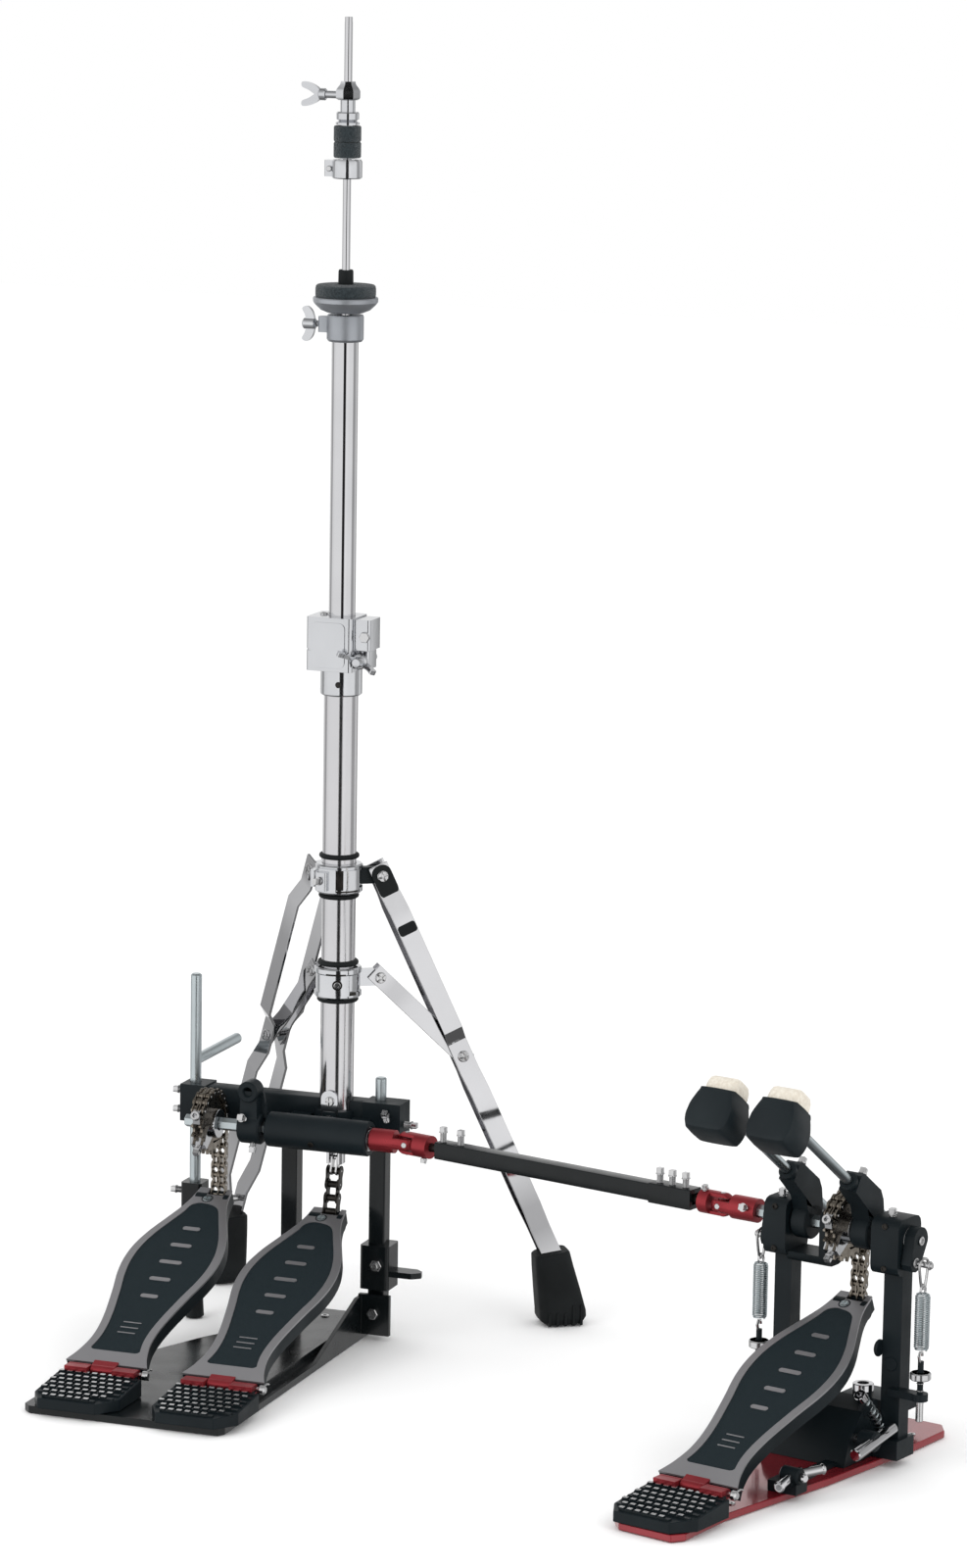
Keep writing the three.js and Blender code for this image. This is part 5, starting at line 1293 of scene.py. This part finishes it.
def head_ring(grow, y):
    """The beater's outline at one place along the rod, drawn in by a negative grow."""
    centre = 10.8
    right = []
    for x, z in BEATER_OUTLINE:
        long = math.hypot(x, z - centre)
        share = (long + grow) / long
        right.append((x * share, centre + (z - centre) * share))
    outline = right + [(-x, z) for x, z in reversed(right)]
    return [(x, y, z) for x, z in smooth_loop(outline, 3)]


def felt_rings():
    """Felt pad: narrower than the body, raised at both ends and hollow between."""
    rings = []
    for z, grow in ((28.2, 0.6), (31, 0.9), (36, 0.4), (39.4, -0.8), (41.0, -3.0)):
        ring = []
        for x, y in rounded(-14, 14, -13.5, 13.5, 8, 8):
            hollow = -2.2 * (1 - (abs(x) / 14) ** 2) if z > 35 else 0.0
            ring.append((x * (14 + grow) / 14, HEAD_MIDDLE + y * (13.5 + grow) / 13.5, z + hollow))
        rings.append(ring)
    return rings


# ---------------------------------------------------------------- camera, light, floor
CAMERA_AT = (1.6510, -4.2219, 1.2916)
CAMERA_TURN, CAMERA_PITCH, CAMERA_ROLL = 19.844, 10.184, 0.9235
LENS = 126.55


def build_camera():
    a, p, r = (math.radians(v) for v in (CAMERA_TURN, CAMERA_PITCH, CAMERA_ROLL))
    back = Vector((math.sin(a) * math.cos(p), -math.cos(a) * math.cos(p), math.sin(p)))
    right = Vector((math.cos(a), math.sin(a), 0))
    up = back.cross(right)
    tilted_right = right * math.cos(r) + up * math.sin(r)
    tilted_up = up * math.cos(r) - right * math.sin(r)
    axes = Matrix((tilted_right, tilted_up, back)).transposed().to_4x4()
    data = bpy.data.cameras.new("camera")
    data.sensor_fit = "VERTICAL"
    data.sensor_height = 36.0
    data.lens = LENS
    data.clip_end = 100
    camera = bpy.data.objects.new("camera", data)
    camera.matrix_world = Matrix.Translation(CAMERA_AT) @ axes
    bpy.context.scene.collection.objects.link(camera)
    bpy.context.scene.camera = camera


def area_light(name, at, target, size, power, shape_y=None):
    data = bpy.data.lights.new(name, "AREA")
    data.energy = power
    data.shape = "RECTANGLE"
    data.size = size
    data.size_y = shape_y or size
    lamp = bpy.data.objects.new(name, data)
    way = Vector(target) - Vector(at)
    lamp.matrix_world = Matrix.Translation(at) @ way.to_track_quat("-Z", "Y").to_matrix().to_4x4()
    lamp.visible_glossy = False
    bpy.context.scene.collection.objects.link(lamp)


# Brightness of the studio round the object: a share of a full turn, and a level.
STUDIO_BANDS = [
    (0.00, 0.45), (0.02, 0.9), (0.10, 1.0), (0.26, 1.0), (0.275, 1.15), (0.286, 0.02), (0.338, 0.02),
    (0.350, 1.1), (0.42, 1.0), (0.52, 0.98), (0.545, 0.4), (0.62, 0.5), (0.645, 0.95), (0.72, 0.3),
    (0.80, 0.9), (0.92, 0.8), (0.97, 0.4), (1.0, 0.45),
]
# Brightness of the studio by height: a share of the way from straight down to straight up.
STUDIO_HEIGHTS = [(0.0, 0.22), (0.22, 0.42), (0.36, 1.0), (0.66, 1.0), (0.80, 0.65), (1.0, 0.30)]
DIFFUSE_LEVEL = 1.12


def level_ramp(tree, source, levels):
    ramp = tree.nodes.new("ShaderNodeValToRGB")
    stops = ramp.color_ramp.elements
    while len(stops) > 1:
        stops.remove(stops[-1])
    for index, (at, level) in enumerate(levels):
        stop = stops[0] if index == 0 else stops.new(at)
        stop.position = at
        stop.color = (level, level, level, 1)
    tree.links.new(source, ramp.inputs["Fac"])
    return ramp.outputs["Color"]


def plain_background(tree, strength):
    made = tree.nodes.new("ShaderNodeBackground")
    made.inputs["Color"].default_value = (1, 1, 1, 1)
    made.inputs["Strength"].default_value = strength
    return made


def build_world():
    """White to the camera, evenly white as light, and banded in reflections."""
    world = bpy.data.worlds.new("studio")
    bpy.context.scene.world = world
    world.use_nodes = True
    tree = world.node_tree
    place = tree.nodes.new("ShaderNodeTexCoord")
    around = tree.nodes.new("ShaderNodeTexGradient")
    around.gradient_type = "RADIAL"
    tree.links.new(place.outputs["Generated"], around.inputs["Vector"])
    parts = tree.nodes.new("ShaderNodeSeparateXYZ")
    tree.links.new(place.outputs["Generated"], parts.inputs["Vector"])
    upward = tree.nodes.new("ShaderNodeMapRange")
    upward.inputs["From Min"].default_value = -1.0
    tree.links.new(parts.outputs["Z"], upward.inputs["Value"])
    bands = level_ramp(tree, around.outputs["Fac"], STUDIO_BANDS)
    heights = level_ramp(tree, upward.outputs["Result"], STUDIO_HEIGHTS)
    product = tree.nodes.new("ShaderNodeVectorMath")
    product.operation = "MULTIPLY"
    tree.links.new(bands, product.inputs[0])
    tree.links.new(heights, product.inputs[1])
    mirrored = tree.nodes["Background"]
    mirrored.inputs["Strength"].default_value = 1.0
    tree.links.new(product.outputs["Vector"], mirrored.inputs["Color"])
    ray = tree.nodes.new("ShaderNodeLightPath")
    lit = plain_background(tree, DIFFUSE_LEVEL)
    shiny = tree.nodes.new("ShaderNodeMixShader")
    tree.links.new(ray.outputs["Is Glossy Ray"], shiny.inputs[0])
    tree.links.new(lit.outputs["Background"], shiny.inputs[1])
    tree.links.new(mirrored.outputs["Background"], shiny.inputs[2])
    seen = tree.nodes.new("ShaderNodeMixShader")
    tree.links.new(ray.outputs["Is Camera Ray"], seen.inputs[0])
    tree.links.new(shiny.outputs["Shader"], seen.inputs[1])
    tree.links.new(plain_background(tree, 1.0).outputs["Background"], seen.inputs[2])
    tree.links.new(seen.outputs["Shader"], tree.nodes["World Output"].inputs["Surface"])


def build_studio():
    floor_material = surface("floor", [(0.93, 0.93, 0.93), (0.95, 0.95, 0.95)], 0.0, (0.9, 1.0), patch=2,
                             Specular_IOR_Level=0.0)
    mesh = bpy.data.meshes.new("floor")
    half = 9.0
    corners = [(-half, -half, -0.0006), (half, -half, -0.0006), (half, half, -0.0006), (-half, half, -0.0006)]
    mesh.from_pydata(corners, [], [(0, 1, 2, 3)])
    mesh.materials.append(floor_material)
    floor = bpy.data.objects.new("floor", mesh)
    floor.visible_glossy = False
    bpy.context.scene.collection.objects.link(floor)
    area_light("key", (-1.6, -2.6, 2.8), (0.2, -0.1, 0.4), 1.6, 22)
    area_light("fill", (2.6, -1.6, 2.0), (0.2, -0.1, 0.3), 1.4, 12, 2.2)
    bpy.context.scene.view_settings.view_transform = "Standard"


# ---------------------------------------------------------------- assembly
build_camera()
build_world()
build_studio()
build_pedals()
build_left_frame()
build_slave_shaft()
build_linkage()
build_tubes()
build_seat()
build_rod_and_clutch()
build_hihat_chain()
for leg_name in ("right", "left"):
    build_leg(leg_name)
build_collars()
build_main_frame()
build_shafts()
build_beaters()
build_springs()
